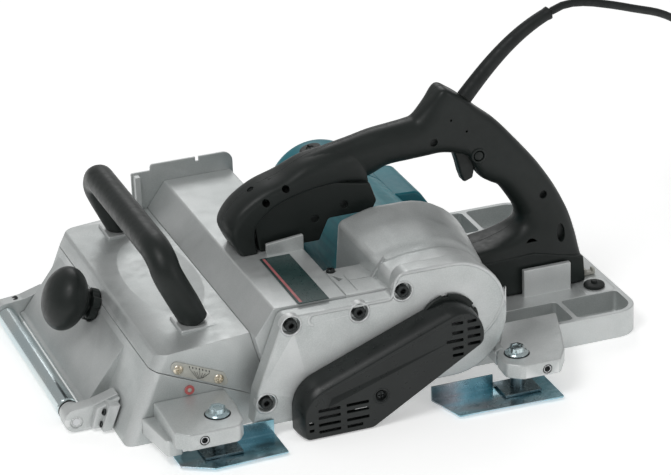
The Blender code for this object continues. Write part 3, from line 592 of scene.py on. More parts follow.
# --- light and floor ---
def make_stage():
    m = Nodes("studio_floor", 0.75)
    m.colour(m.ramp(m.noise(3.0, 3.0), [(0.3, (0.93, 0.935, 0.93)), (0.7, (0.96, 0.965, 0.96))]))
    m.shader.inputs["Emission Color"].default_value = (1.0, 1.0, 1.0, 1.0)
    m.shader.inputs["Emission Strength"].default_value = 0.36
    mesh = bpy.data.meshes.new("studio_floor")
    mesh.from_pydata([(-9, -8, 0), (10, -8, 0), (10, 10, 0), (-9, 10, 0)], [], [(0, 1, 2, 3)])
    mesh.materials.append(m.material)
    floor = put("studio_floor", mesh)
    bpy.context.scene.view_settings.view_transform = "Standard"
    world = bpy.data.worlds.new("studio")
    bpy.context.scene.world = world
    world.use_nodes = True
    world.node_tree.nodes["Background"].inputs["Color"].default_value = (1.0, 1.0, 1.0, 1.0)
    world.node_tree.nodes["Background"].inputs["Strength"].default_value = 0.42
    # watts, metres across, and the two places in metres between which the light shines
    for name, energy, size, place, target in (
            ("key", 19.0, 1.0, (-1.2, -0.9, 2.2), (0.0, 0.0, 0.05)),
            ("fill", 5.0, 1.0, (1.6, -1.8, 1.0), (0.0, 0.0, 0.1)),
            ("back", 11.0, 1.2, (0.6, 2.0, 1.8), (0.0, 0.0, 0.1))):
        light = bpy.data.lights.new(name, "AREA")
        light.energy = energy
        light.size = size
        lamp = put(name, light)
        lamp.location = place
        lamp.rotation_mode = "QUATERNION"
        lamp.rotation_quaternion = (Vector(target) - Vector(place)).to_track_quat("-Z", "Y")


# --- lofts and screws ---
def loft(rows, middle, between=5, sides=48):
    """Rows of (top x, top z, bottom x, bottom z, half width, top squareness, bottom squareness)."""
    solid = bmesh.new()
    rings = []
    for tx, tz, bx, bz, wide, over, under in spline_rows(rows, between):
        centre = Vector(((tx + bx) / 2.0, middle, (tz + bz) / 2.0))
        tall = Vector(((tx - bx) / 2.0, 0.0, (tz - bz) / 2.0))
        ring = []
        for step in range(sides):
            angle = 2.0 * math.pi * (step + 0.5) / sides
            c, s = math.cos(angle), math.sin(angle)
            power = 2.0 / max(1.8, over if s > 0.0 else under)
            ring.append(solid.verts.new(centre + ACROSS * (wide * math.copysign(abs(c) ** power, c))
                                        + tall * math.copysign(abs(s) ** power, s)))
        rings.append(ring)
    return skin(solid, rings)


def head_screw(place, direction, radius, recess="cross", height=None):
    """A screw head with its driving recess cut in the top; the top of the head is at place."""
    height = radius * 0.55 if height is None else height
    dome = [(0, 0.0), (radius * 0.55, -0.03 * radius), (radius * 0.85, -0.16 * radius),
            (radius, -0.4 * radius), (radius, -height), (0, -height)]
    if recess == "hex":
        dome = [(0, 0.0), (radius * 0.86, 0.0), (radius, -0.14 * radius), (radius, -height), (0, -height)]
    head = lathe(dome, ORIGIN, UP, 24)
    depth = min(height * 0.75, radius * 0.7)
    if recess == "hex":
        cut(head, rod(radius * 0.5, -depth, 1.0, ORIGIN, UP, 0.0, 6))
    else:
        slot = radius * 0.14
        arm = radius * 0.62
        cut(head, join(block((-arm, -slot, -depth), (arm, slot, 1.0)),
                       block((-slot, -arm, -depth), (slot, arm, 1.2))))
    head.data.transform(aim(place, direction))
    return head


# --- handle ---
HOOD = [
    (213, 131, 232, 131, 24.5, 6, 12), (206, 144, 230, 146, 25, 5, 12), (201.5, 158, 231.5, 158, 25, 4, 12),
    (207, 172, 237, 166, 25, 3.4, 12), (219, 185, 246, 174, 25, 3, 12), (240, 197.5, 260, 182, 25, 2.8, 12),
    (266, 206.5, 281, 188, 24.5, 2.7, 12), (291, 218.5, 306, 191, 23.5, 2.5, 10),
    (318, 224, 331, 190, 22, 2.4, 6), (340, 226, 352, 183, 19.5, 2.3, 4), (352, 226, 361, 173, 17, 2.3, 3),
]
BAR = [
    (236, 190, 262, 176, 14, 2.4, 2.4), (262, 203.5, 290, 182, 17, 2.4, 2.4),
    (291, 218.7, 322, 184, 18, 2.3, 2.3), (318, 226, 344, 184, 18, 2.3, 2.3),
    (345, 231.3, 364, 187, 18, 2.3, 2.3), (368, 236, 384, 195, 18, 2.3, 2.3),
    (391, 238.6, 408, 196.5, 18, 2.3, 2.3), (408, 240.5, 428, 197.5, 18, 2.4, 2.4),
    (418, 243.5, 445, 198.3, 18, 2.6, 2.6), (432, 257.5, 461, 195.5, 18, 3.5, 3.5),
    (446, 271.5, 474, 190.5, 17.8, 6, 5), (460, 265, 481, 178, 17.8, 6, 5), (475, 253.5, 485, 170, 18, 5, 4),
    (489, 241, 490, 162.5, 18, 4, 3.6), (509, 224, 500, 155.5, 18.5, 3.2, 3.2),
    (531, 199, 511, 148.5, 19, 2.8, 2.8), (553, 172, 522, 133, 19, 2.6, 2.6),
    (568, 150, 530, 119, 19.5, 2.6, 2.6), (579, 131, 532, 108, 21, 2.6, 2.6),
    (590, 107, 524, 97, 24, 2.8, 2.8), (596, 85, 500, 88, 28, 3.4, 3.4), (598.5, 66, 474, 82, 31, 5, 5),
    (600, 50, 467, 68, 32.5, 8, 8), (601, 31, 466, 31, 33, 10, 10),
]


def make_handle():
    shell = loft(BAR, HANDLE_Y)
    lower = prism([(235, 131), (301, 131), (312, 154), (361, 154.5), (366, 165), (359, 186), (350, 187),
                   (320, 193), (272, 190), (243, 176), (231, 160)], -63.5, -20.5, 2.0)
    foot = prism([(467, 31), (467, 73, 8), (540, 75, 6), (588, 63, 6), (597.5, 60, 2), (599.5, 31, 2)], -75,
                 -9, 2.5)
    join(shell, loft(HOOD, HANDLE_Y), lower, foot)
    trim = block((440, -50.4, 140), (489, -33.6, 217), 1.0)
    cut(shell, trim, rod(5.9, -70, -48, (483, 0, 192.5)), block((489.6, -51.4, 177.6), (520.4, -32.6, 206.4)))
    tools = []
    for x, z in ((231, 199), (251.4, 211), (268, 193), (246, 181)):
        side = Vector((-0.35, -0.75, 0.56)) if z < 195 else Vector((-0.5, -0.35, 0.79))
        top = Vector((x, -60.5 if z < 195 else -47.0, z))
        tools.append(rod(3.9, -9.0, 14.0, top, side, 0.0, 20))
    for x, z, y in SHELL_SCREWS:
        tools.append(rod(4.4, y + 3.5, y - 20.0, (x, 0, z)))
    tools.append(rod(7.0, -70.0, -45.0, (538.6, 0, 83), ACROSS, 0.0, 24))
    oval = rod(5.0, -90.0, -62.5, ORIGIN, ACROSS, 0.0, 24)
    oval.data.transform(Matrix.Translation((573.6, 0, 90)) @ Matrix.Diagonal((1.0, 1.0, 2.0, 1.0)))
    tools.append(oval)
    cut(shell, *tools)
    far = copy_of(shell)
    cut(shell, block((150, HANDLE_Y - 0.15, 0), (700, 60, 400)))
    cut(far, block((150, -120, 0), (700, HANDLE_Y + 0.15, 400)))
    for x, z, y in ((452.7, 237.6, -59.9), (470.2, 222.3, -60.0)):
        cut(shell, rod(1.3, y - 2.0, y + 3.0, (x, 0, z), ACROSS, 0.0, 12))
    finish(shell, "handle_shell_near", "black", replaces=["handle_near"])
    finish(far, "handle_shell_far", "black", replaces=["handle_far"])
    screws = [head_screw((x, y + 3.3, z), NEARWARD, 3.6) for x, z, y in SHELL_SCREWS]
    screws.append(head_screw((538.6, -60.0, 83), NEARWARD, 4.6))
    finish(merge(*screws), "handle_screws", "oxide")


SHELL_SCREWS = [(329.6, 166.7, -63.5), (296.9, 156.7, -63.5), (432.9, 216, -59.5), (556.2, 135.1, -60.0)]


def make_controls():
    trigger = prism([(457, 206, 3), (464, 182, 14), (466.5, 171, 12), (470.5, 159.5, 3), (481, 163.5, 3),
                     (485, 186, 6), (483, 210, 6)], -49, -35, 2.4, segments=4, steps=8)
    finish(trigger, "switch_trigger", "black", "trigger_key", ["trigger"])
    button = lathe([(0, 9.2), (3.2, 9.2), (4.6, 8.7), (5.4, 7.4), (5.4, 0), (0, 0)], (483, -52.4, 192.5),
                   NEARWARD, 32)
    finish(button, "lock_on_button", "black", "lock_key", ["lock_button"])
    collar = lathe([(8.2, 0.9), (7.4, 1.3), (6.3, 1.3), (5.95, 0.8), (5.95, -1.5), (8.2, -1.5), (8.2, 0.9)],
                   (483, -60.0, 192.5), NEARWARD, 40)
    finish(collar, "lock_button_collar", "black")


def relief_path(steps):
    start, end = Vector((475.2, HANDLE_Y, 253.6)), Vector((575.0, HANDLE_Y, 332.9))
    a = start + Vector((0.66, 0.0, 0.75)) * 45.0
    b = end - Vector((0.93, 0.0, 0.36)) * 45.0
    points = []
    for step in range(steps + 1):
        t = step / steps
        points.append(start * (1 - t) ** 3 + a * 3 * t * (1 - t) ** 2 + b * 3 * t * t * (1 - t)
                      + end * t ** 3)
    return points


def make_strain_relief():
    steps = 60
    radii = []
    for index in range(steps + 1):
        t = index / steps
        size = 1.0 - 0.24 * t
        if t > 0.965:
            size += 0.06
        radii.append(size * (0.5 if index == steps else 1.0))
    sleeve = sweep(relief_path(steps), 8.8, 28, radii)
    finish(sleeve, "cord_strain_relief", "rubber", replaces=["strain_relief"])


# --- front base, roller, knob, grip ---
def seam_height(x, lift=0.0):
    return 79.0 - (x - 77.0) * math.tan(TILT) + lift


def plan_block(corners, low, high, shear):
    """A plan outline raised from low to high, leaning backwards by shear for each millimetre up."""
    solid = prism(corners, 0.0, high - low, 0.0, "z", steps=8)
    lean = Matrix.Identity(4)
    lean[0][2] = shear
    solid.data.transform(Matrix.Translation((0, 0, low)) @ lean)
    return solid


def make_front():
    near, far = HOUSING_NEAR, HOUSING_FAR
    lean = 33.0 / 79.0
    base = prism([(44, 0, 3), (203, 0, 1), (203, seam_height(203)), (77, 79)], near, far, 0.0)
    toe = 44 - 5 * lean
    change(base, "INTERSECT", [plan_block([(toe, near, 13), (330, near), (330, far), (toe, far, 13)], -5,
                                          95, lean)])
    soften(base, 1.0, 2)
    lip = prism([(25.5, 9, 2), (60, 2), (80, 70), (74, 72), (30, 15, 3), (25.5, 13.5, 1)], -97, 143, 0.8)
    join(base, lip)
    cut(base, prism([(54.5, 7), (195, 7), (195, 95), (92.2, 95)], near + 8, far - 8))
    cut(base, rod(18.5, -35.2, 30, KNOB, SLIDE), rod(6.3, -40, 20, KNOB - SLIDE * 40.0, SLIDE))
    finish(base, "front_base_casting", "silver", "front_sole", ["front_base"])

    lift = 0.4
    outline = [(77.4, seam_height(77.4, lift) + 0.6), (84.5, 93, 6), (181.6, 101), (189.6, 70), (202, 42),
               (202, seam_height(202, lift))]
    housing = prism(outline, near, far, 0.0, steps=4)
    slope = 7.1 / 13.2
    toe = 77.2 - 60 * slope
    change(housing, "INTERSECT", [plan_block([(toe, near, 13), (340, near), (340, far), (toe, far, 13)],
                                             79.8 - 60, 140, slope)])
    soften(housing, 2.6, 3, 25.0)
    dish = bmesh.new()
    bmesh.ops.create_uvsphere(dish, u_segments=180, v_segments=90, radius=1.0)
    dish = new_object(dish)
    dish.data.transform(Matrix.Translation((136, -6, 183.8)) @ Matrix.Rotation(math.radians(-4.7), 4, "Y")
                        @ Matrix.Diagonal((132.0, 350.0, 90.0, 1.0)))
    cut(housing, dish)
    for y in (-126.0, 127.0):
        join(housing, block((121, y - 20, 88), (161.5, y + 20, 99.5), 2.0, 3))
    hollow = prism([(88, 60), (92, 86), (175, 90), (182, 69), (194, 42), (194, 10), (140, 0), (80, 40)],
                   near + 6, far - 6)
    cut(housing, hollow)
    join(housing, prism([(136, 26), (147, 22), (147, 91.5), (136, 91)], -13.0, 23.0))
    cut(housing, rod(6.3, -140, -80, KNOB, SLIDE), rod(14.0, -64, -30, KNOB, SLIDE))
    finish(housing, "front_housing_casting", "silver", replaces=["front_housing"],
           smooth=28.0)

    route = [(141, -126, 100), (134, -125, 116), (118.5, -121, 150), (115.5, -113, 164), (114, -98, 171.5),
             (113.5, -78, 173), (113.5, 79, 173), (114, 99, 171.5), (115.5, 114, 164),
             (118.5, 122, 150), (134, 126, 116), (141, 127, 100)]
    path = smooth_path(route, 4.0)
    count = len(path) - 1
    radii = [1.0 - 0.05 * math.exp(-(min(i, count - i) / 3.0) ** 2) for i in range(count + 1)]
    grip = sweep(path, 15.5, 40, radii)
    cut(grip, block((90, -160, 70), (190, 160, 99.9)))
    soften(grip, 1.5, 3, 50.0)
    finish(grip, "front_grip_bar", "black", replaces=["front_grip"])


def knob_lobes(angle, height):
    return 1.0 - (0.16 * (0.5 + 0.5 * math.cos(6.0 * angle)) ** 3 if height < -24.0 else 0.0)


def make_knob():
    half = 22.1
    angles = [math.radians(90 - 6 * k) for k in range(26)]
    profile = [(34.0 * math.cos(a), half * math.sin(a)) for a in angles]
    profile[0] = (0.0, half)
    profile += [(16.5, -20.4), (13.0, -21.4), (12.2, -23.6), (14.5, -24.6), (17.5, -25.4), (17.5, -33.2),
                (16.2, -34.4), (0, -34.4)]
    knob = lathe(profile, KNOB, SLIDE, 72, flutes=knob_lobes)
    finish(knob, "depth_knob_ball", "black", "depth_adjuster", ["depth_knob"], smooth=40.0)


def make_roller():
    tube = lathe([(4.4, 143.6), (8.0, 143.6), (9.4, 142.9), (9.6, 141.5), (11, 140.2), (11, -93.2),
                  (9.9, -94.2), (9.9, -95.6), (10.6, -96.0), (10.6, -97.4), (9.8, -98.0), (4.4, -98.0),
                  (4.4, 143.6)],
                 ROLLER, ACROSS, 64)
    finish(tube, "roller_tube", "zinc", "roller", ["front_roller"])
    band = lathe([(11.1, -98.3), (11.1, -100.4), (4.4, -100.4), (4.4, -98.3), (11.1, -98.3)], ROLLER,
                 ACROSS, 48)
    finish(band, "roller_seal_ring", "rubber", "front_sole")
    lean = Vector((33.0, 0.0, 79.0)).normalized()
    foot = Vector((43.2, 0.0, 1.2))
    head = foot + lean * 38.0
    outline = [(-2, 1, 12.5), (foot.x, foot.z, 1), (head.x, head.z, 2), (30, 28, 8), (-2, 25, 12.5)]
    for name, low, high, inner in (("near", -128.0, -112.0, 1.0), ("far", 144.3, 160.0, -1.0)):
        arm = prism(outline, low, high, 1.6, steps=8)
        if inner > 0:
            join(arm, rod(11.0, high - 1, -100.6, ROLLER, ACROSS, 0.6, 48))
            web = prism([(24, 4), (foot.x, foot.z + 1), (head.x - 1, head.z - 3), (31, 26)], low - 7,
                        low + 1, 2.2)
            join(arm, web, prism([(32, 3, 2), (foot.x - 0.2, 3, 1), (foot.x + 11, 30, 1), (42, 31, 3)],
                                 low - 15, low + 1, 2.0))
        pit = low - 1 if inner > 0 else high + 1
        cut(arm, rod(4.3, low - 5, high + 20, ROLLER, ACROSS, 0.0, 32),
            rod(6.5, pit - 2.2, pit + 2.2, ROLLER, ACROSS))
        finish(arm, "roller_arm_" + name + "_casting", "silver", "front_sole", ["roller_arm_" + name])
    screws = [head_screw((x, -137.0, z), (-0.93, -0.2, 0.3), 3.4, "hex", 6.0)
              for x, z in ((36.5, 22.5), (33.2, 9.5))]
    screws += [head_screw((22.0, 152.0, 27.8), (-0.5, 0, 0.86), 4.2, "hex", 6.0)]
    finish(merge(*screws), "roller_arm_screws", "oxide", "front_sole")


# --- casing, side casing, belt cover ---
CASING_BOLTS = [(213.5, 118), (286, 118), (333, 132), (184, 38)]
HUMP_LOW = [(318, 34, 2), (327, 141, 8), (352, 145, 30), (446, 150, 62), (446, 34, 25)]
HUMP_HIGH = [(304, 34, 2), (315, 158, 8), (350, 168, 60), (463, 168, 76), (463, 34, 30)]


def ruled(sections, steps=10):
    """A solid ruled through side-view outlines with the same corners, given as (y, corners)."""
    solid = bmesh.new()
    rings = [[solid.verts.new((p.x, y, p.y)) for p in rounded(corners, steps)] for y, corners in sections]
    return skin(solid, rings)


def between(low, high, t, inset=0.0):
    """Corners part of the way from one outline to the other, drawn in towards the motor axis."""
    corners = []
    for a, b in zip(low, high):
        x, z, r = (p + (q - p) * t for p, q in zip(a, b))
        corners.append((x - math.copysign(inset, x - 380.0), z - math.copysign(inset, z - 87.0), r))
    return corners


def make_casing():
    near, far = -195.7, 162.0
    body = prism([(206, 4, 2), (206, 41, 3), (190, 70, 3), (182, 101, 2), (203, 130, 4), (280, 130, 2),
                  (280, 30), (276.7, 30), (276.7, 4, 2)], near, far, 0.8)
    sections = [(near, between(HUMP_LOW, HUMP_HIGH, 0.0))]
    sections += [(y, between(HUMP_LOW, HUMP_HIGH, (y - near) / (-74.0 - near), inset))
                 for y, inset in ((-172.0, 0.0), (-168.0, -1.4), (-163.0, -2.4), (-156.0, -1.4),
                                  (-150.0, 0.0), (-84.0, 0.0), (-79.5, 1.2), (-76.3, 3.6), (-74.6, 6.6),
                                  (-74.0, 10.0))]
    hump = ruled(sections)
    pad = block((279, near, 31), (331, -131, 129.5), 1.2)
    tie = block((279, -133, 33), (318, -75, 60))
    rib = prism([(238.5, 124), (238.5, 143, 1.5), (279.5, 147, 1.5), (279.5, 124)], -75.0, -70.5, 1.0)
    gusset = prism([(317, 128), (333, 128), (333, 150)], -168.0, -163.5, 0.6)
    boss = rod(26.0, 160.0, 177.0, DRUM, ACROSS, 2.0, 64)
    join(body, hump, pad, tie, rib, gusset, boss)
    cut(body, rod(36.0, -159.0, 159.0, DRUM, ACROSS, 0, 64), block((205, -158, -5), (277.5, 158, 30)),
        block((206, -149, 50), (236, 149, 100)),
        prism([(197, 84), (262, 84, 6), (262, 123, 6), (205, 123), (193, 101)], -150, far + 5),
        block((285, -189, 20), (319, -137, 121)))
    cut(body, rod(17.8, -180.3, -150.0, DRUM), rod(17.8, 150.0, 174.3, DRUM), rod(9.0, -200, -170, DRUM),
        rod(60.0, -180.0, -69.0, MOTOR, ACROSS, 0, 64), rod(16.3, -192.3, -170, MOTOR),
        rod(8.5, -200, -185, MOTOR),
        *[rod(3.3, -200, -182, (x, 0, z), ACROSS, 0, 16) for x, z in CASING_BOLTS])
    # the notch and the panel lines between the top face and the hump
    cut(body, prism([(283, -146), (291, -158), (285, -162)], 124.5, 135, 0, "z"),
        block((279.7, -205, 128.9), (280.4, -131.5, 131)), block((294.0, -190, 129.1), (294.7, -150, 131)),
        block((294.2, -164.4, 129.1), (322, -163.7, 131)),
        rod(5.0, 127.6, 140.0, (285.5, -136.5, 0), UP, 0, 24))
    finish(body, "main_casing_shell", "silver", replaces=["main_casing"], smooth=28.0)
    screw = head_screw((285.5, -136.5, 132.4), UP, 4.4, "hex", 4.6)
    finish(screw, "casing_top_screw", "oxide")


def make_side_casing():
    near, far = -216.0, -196.0
    outline = [(169, 12, 6), (290, 12, 12), (340, 26, 24), (446, 26, 60), (446, 153, 60), (330, 153, 14),
               (323, 127.5, 6), (206, 127.5, 8), (175, 50, 12)]
    side = prism(outline, near, far, 2.2, segments=4, steps=10)
    # a raised bead follows the outer edge
    path = [Vector((p.x, near + 0.9, p.y)) for p in rounded([(x + (2.2 if x < 300 else -2.2),
                                                             z + (2.2 if z < 90 else -2.2), max(r - 2.0, 3.0))
                                                            for x, z, r in outline[3:-1]], 12)]
    bead = sweep(path, 1.7, 8)
    cut(side, rod(16.0, -225, -190, DRUM, ACROSS, 0, 48), rod(31.0, -225, -190, MOTOR, ACROSS, 0, 64))
    scallops, bolts = [], []
    for x, z in CASING_BOLTS:
        cut(side, rod(3.3, -225, -190, (x, 0, z), ACROSS, 0, 24),
            rod(9.4, -225, -209.4, (x, 0, z), ACROSS, 0, 32))
        ring = lathe([(11.4, -209.0), (11.4, -215.8), (10.9, -216.9), (9.9, -216.9), (9.4, -216.2),
                      (9.4, -209.0), (11.4, -209.0)], (x, 0, z), ACROSS, 36)
        scallops.append(ring)
        socket = lathe([(0, 7.4), (3.0, 7.4), (3.3, 8.0), (5.4, 8.0), (6.4, 7.1), (6.5, 6.2), (6.5, 0),
                        (3, 0), (3, -20), (0, -20)], ORIGIN, UP, 36)
        cut(socket, rod(3.1, 3.0, 10.0, ORIGIN, UP, 0, 6))
        socket.data.transform(aim((x, -209.1, z), NEARWARD))
        bolts.append(socket)
    lug = prism([(432, 27, 4), (447, 27, 6), (447, 46, 8), (432, 46, 4)], near, far, 1.5)
    join(side, lug)
    merge(side, bead, *scallops)
    finish(side, "side_casing_plate", "silver", replaces=["side_casing"], smooth=28.0)
    for index, bolt in enumerate(bolts):
        finish(bolt, "socket_bolt_%d" % (index + 1), "oxide", replaces=["casing_bolt_%d" % (index + 1)])
    # round flange behind the upper end of the belt cover, with its three lugs
    flange = rod(33.2, -220.5, -216.2, MOTOR, ACROSS, 1.0, 72)
    for angle in (28, 95, 160):
        turn = Matrix.Translation(MOTOR) @ Matrix.Rotation(math.radians(angle), 4, "Y").inverted()
        cut(flange, block((30.4, -225, -3.4), (40.0, -210, 3.4), 0.4, turn=turn))
    finish(flange, "cover_flange", "black")
    # the lug bolt at the plate's back corner
    bolt = head_screw((439.5, -217.5, 36.5), NEARWARD, 5.2, "hex", 5.5)
    finish(bolt, "side_lug_bolt", "oxide")


def make_belt_cover():
    near, far = -243.0, -216.3
    foot = [(210, 1, 6), (288, 1, 12), (411, 71.7, 10), (411, 129.8, 32.5), (210, 52.5, 36)]
    face = [(215.5, 1.5, 5), (287.5, 1.5, 12), (409, 72.3, 10), (409, 119.3, 25), (215.5, 44.5, 30)]

    def section(t):
        return [[p + (q - p) * t for p, q in zip(a, b)] for a, b in zip(foot, face)]

    # the wall draws in towards the flat front face
    cover = ruled([(far, section(0.0)), (-227.0, section(0.1)), (-235.0, section(0.36)),
                   (-239.5, section(0.64)), (near, face)])
    soften(cover, 0.8, 3, 30.0)
    # a channel under the upper edge gets shallower towards the motor
    outline = [(232.5, 48.6), (238.5, 33.0), (372, 79), (386, 106.0)]
    floor = [(238.5, -239.0, 48.4), (245.5, -239.0, 41.0), (368, -241.8, 88), (380, -241.8, 103.0)]
    channel = bmesh.new()
    for x, z in outline:
        channel.verts.new((x, near, z))
        channel.verts.new((x, near - 3.0, z))
    for corner in floor:
        channel.verts.new(corner)
    bmesh.ops.convex_hull(channel, input=channel.verts)
    channel = new_object(channel)
    soften(channel, 0.7, 2, 20.0)
    wide = [(213, 4, 4), (286.5, 4, 10), (408, 74, 8), (408, 124.6, 29), (213, 50.0, 33)]
    narrow = [(219.5, 4.5, 4), (286, 4.5, 10), (405, 75, 8), (405, 112, 21), (219.5, 41.0, 26)]
    cut(cover, channel, ruled([(near + 5.2, narrow), (-232.0, wide), (far + 5, wide)], 8))
    slots = []
    for x0, x1, rows in ((229.0, 252.5, (30.0, 22.3, 14.4, 6.8)), (259.0, 283.0, (30.4, 23.0, 14.0)),
                         (259.0, 276.0, (6.6,)), (218.8, 224.0, (17.6, 9.8)),
                         (374.5, 386.5, (96.6, 86.4, 69.4, 61.8)), (368.0, 386.5, (77.8,)),
                         (391.0, 401.0, (96.6,)), (391.0, 405.0, (88.2, 79.6, 71.6))):
        slots += [block((x0, -250, z), (x1, -232, z + 3.3), 0.6) for z in rows]
    screw = (296.6, 0, 35.1)
    cut(cover, merge(*slots), rod(8.6, near - 5, near + 0.9, screw, ACROSS, 0, 40),
        rod(6.2, near - 5, near + 3.8, screw, ACROSS, 0, 32))
    ring = lathe([(8.5, 0.0), (8.5, 0.5), (8.0, 1.1), (7.2, 1.1), (6.9, 0.5), (6.9, 0.0), (8.5, 0.0)],
                 (296.6, near + 0.9, 35.1), NEARWARD, 36)
    merge(cover, ring)
    finish(cover, "belt_cover_shell", "cover", replaces=["belt_cover"], smooth=30.0)
    finish(head_screw((296.6, near + 1.4, 35.1), NEARWARD, 5.0), "belt_cover_screw", "oxide")


# --- motor and chip outlet ---
def make_motor_housing():
    near, far, brush_y = -73.7, 182.0, 135.0
    profile = [(0, far), (30, far), (40, far - 0.8), (48, far - 3.4), (53.5, far - 7.6), (56.4, far - 12.5),
               (57, far - 18), (57, 60), (56.2, 59.4), (56.2, 57.6), (57, 57), (57, near), (53, near),
               (53, far - 26), (45, far - 22), (16.3, far - 22), (16.3, far - 9), (0, far - 9)]
    housing = lathe(profile, MOTOR, ACROSS, 96)
    centre = MOTOR + Vector((0, brush_y, 0))
    lean = math.radians(14.4)
    for side, name in ((1.0, "front"), (-1.0, "back")):
        direction = Vector((-math.sin(lean), 0, math.cos(lean))) * side
        join(housing, lathe([(0, 60.8), (13.2, 60.8), (14.2, 60.0), (15.6, 57.0), (18.0, 55.0), (18.0, 44),
                             (0, 44)],
                            centre, direction, 48))
        cut(housing, rod(9.3, 38, 70, centre, direction, 0, 32))
        cap = lathe([(0, 64.0), (4.0, 64.0), (4.4, 65.0), (9.6, 65.0), (10.4, 64.2), (11.2, 64.2),
                     (12.0, 63.8), (12.5, 62.8), (12.5, 61.2), (9, 61.2), (9, 52), (0, 52)], ORIGIN, UP, 48)
        cut(cap, block((-7.6, -1.0, 63.2), (7.6, 1.0, 70.0)))
        cap.data.transform(aim(centre, direction))
        finish(cap, "brush_cap_%s_screwed" % name, "black", replaces=["brush_cap_" + name])
    air = prism([(400, 62), (462, 62, 7), (462, 104, 12), (446, 128, 12), (405, 130)], 20.0, 102.0, 3.0,
                segments=3)
    join(housing, air)
    cut(housing, rod(53.2, near - 5, 103, MOTOR, ACROSS, 0, 96),
        *[block((457, 30 + 9 * k, 70), (466, 34 + 9 * k, 100), 0.8) for k in range(8)])
    # ribs cooling the motor's far end, and its air slots
    slots = []
    for index in range(12):
        turn = Matrix.Translation(MOTOR) @ Matrix.Rotation(2.0 * math.pi * index / 12.0, 4, "Y")
        slots.append(block((22.0, far - 5.0, -2.0), (41.0, far + 5.0, 2.0), 1.2, turn=turn))
    cut(housing, merge(*slots))
    finish(housing, "motor_housing_shell", "teal", replaces=["motor_housing"], smooth=30.0)


def make_outlet():
    low = 162.3
    lip = prism([(166, 80, 2), (283, 80, 6), (283, 151, 12), (188, 151, 4), (188, 144, 1), (166, 144, 2)],
                low, low + 2.7, 0.7, steps=8)
    flange = prism([(168, 82), (174, 82), (174, 142), (168, 142)], low - 9.0, low + 1.0, 0.6)
    rim = prism([(197, 84), (262, 84, 6), (262, 123, 6), (205, 123), (193, 101)], low - 4, low + 6)
    join(lip, flange)
    cut(lip, rim, block((240.0, 150, 145.5), (244.0, 170, 155.0)))
    finish(lip, "chip_outlet_lip", "silver", replaces=["outlet_lip"])
    screws = [head_screw((x, low + 2.4, z), (0, 1, 0), 3.6) for x, z in ((181, 92), (274, 92), (274, 140))]
    finish(merge(*screws), "outlet_screws", "oxide")


def make_label():
    plate = block((228.5, -198, 130.3), (261, -81, 131.4), 0.35)
    finish(plate, "type_plate_blank", "label", replaces=["type_plate"])
    stripe = block((230.6, -195.6, 131.35), (233.4, -83.4, 131.55))
    finish(stripe, "type_plate_stripe", "stripe")


# --- rear base, brackets and guides ---
def make_rear_base():
    top = 29.7
    base = prism([(277, -159, 2), (626, -159, 26), (626, 159, 26), (277, 159, 2)], 0.0, top, 1.0, "z",
                 steps=10)
    pockets = [(304, -150, 452, 150), (460, -153, 549, -107), (555, -153, 620, -107), (460, 98, 549, 153),
               (555, 98, 620, 153), (460, 0, 549, 92), (555, 0, 620, 92)]
    for x0, y0, x1, y1 in pockets:
        near_r = 20 if (x1 == 620 and y0 == -153) else 5
        far_r = 20 if (x1 == 620 and y1 == 153) else 5
        cut(base, prism([(x0, y0, 5), (x1, y0, near_r), (x1, y1, far_r), (x0, y1, 5)], 6.0, top + 10, 0.0,
                        "z", steps=8))
    soften(base, 0.9, 2, 50.0)
    cut(base, rod(6.3, 14, 60, (603, -89, 0), UP, 0, 32))
    stay = block((523, -84, 20), (578, -78, 61), 1.0)
    seat = prism([(586, -105, 3), (621, -105, 4), (621, -73, 3), (586, -73, 3)], 20, top + 0.25, 0.6, "z")
    cut(seat, rod(6.3, 14, 60, (603, -89, 0), UP, 0, 32))
    fillets = []
    # low ribs and bosses cast in the trays
    for x, y in ((505, -130), (588, -130), (505, 126), (588, 126), (505, 46), (588, 46)):
        fillets.append(prism([(x - 9, y - 2.2, 2), (x + 9, y - 2.2, 2), (x + 9, y + 2.2, 2),
                              (x - 9, y + 2.2, 2)],
                             5.0, 9.5, 0.9, "z"))
        fillets.append(rod(4.4, 5.0, 12.5, (x, y, 0), UP, 1.2, 24))
    merge(base, stay, seat, *fillets)
    finish(base, "rear_base_casting", "silver", replaces=["rear_base"])
    cap = lathe([(0, 37.0), (3.1, 37.0), (3.4, 36.6), (3.6, 34.6), (8.0, 34.2), (10.9, 33.3), (11.5, 32.2),
                 (11.4, 30.4), (6, 30.2), (6, 15), (0, 15)], (603, -89, 0), UP, 48,
                flutes=lambda angle, height: 0.9 + 0.1 * math.cos(6 * angle) ** 2 if height > 34.4 else 1.0)
    finish(cap, "rear_rubber_foot", "rubber", replaces=["rear_buffer"])
    clip = block((604, -62, 29.9), (617, -55, 37), 1.2)
    cut(clip, block((607, -70, 33.5), (614, -50, 40), 0.5))
    finish(clip, "cable_clip", "cream")


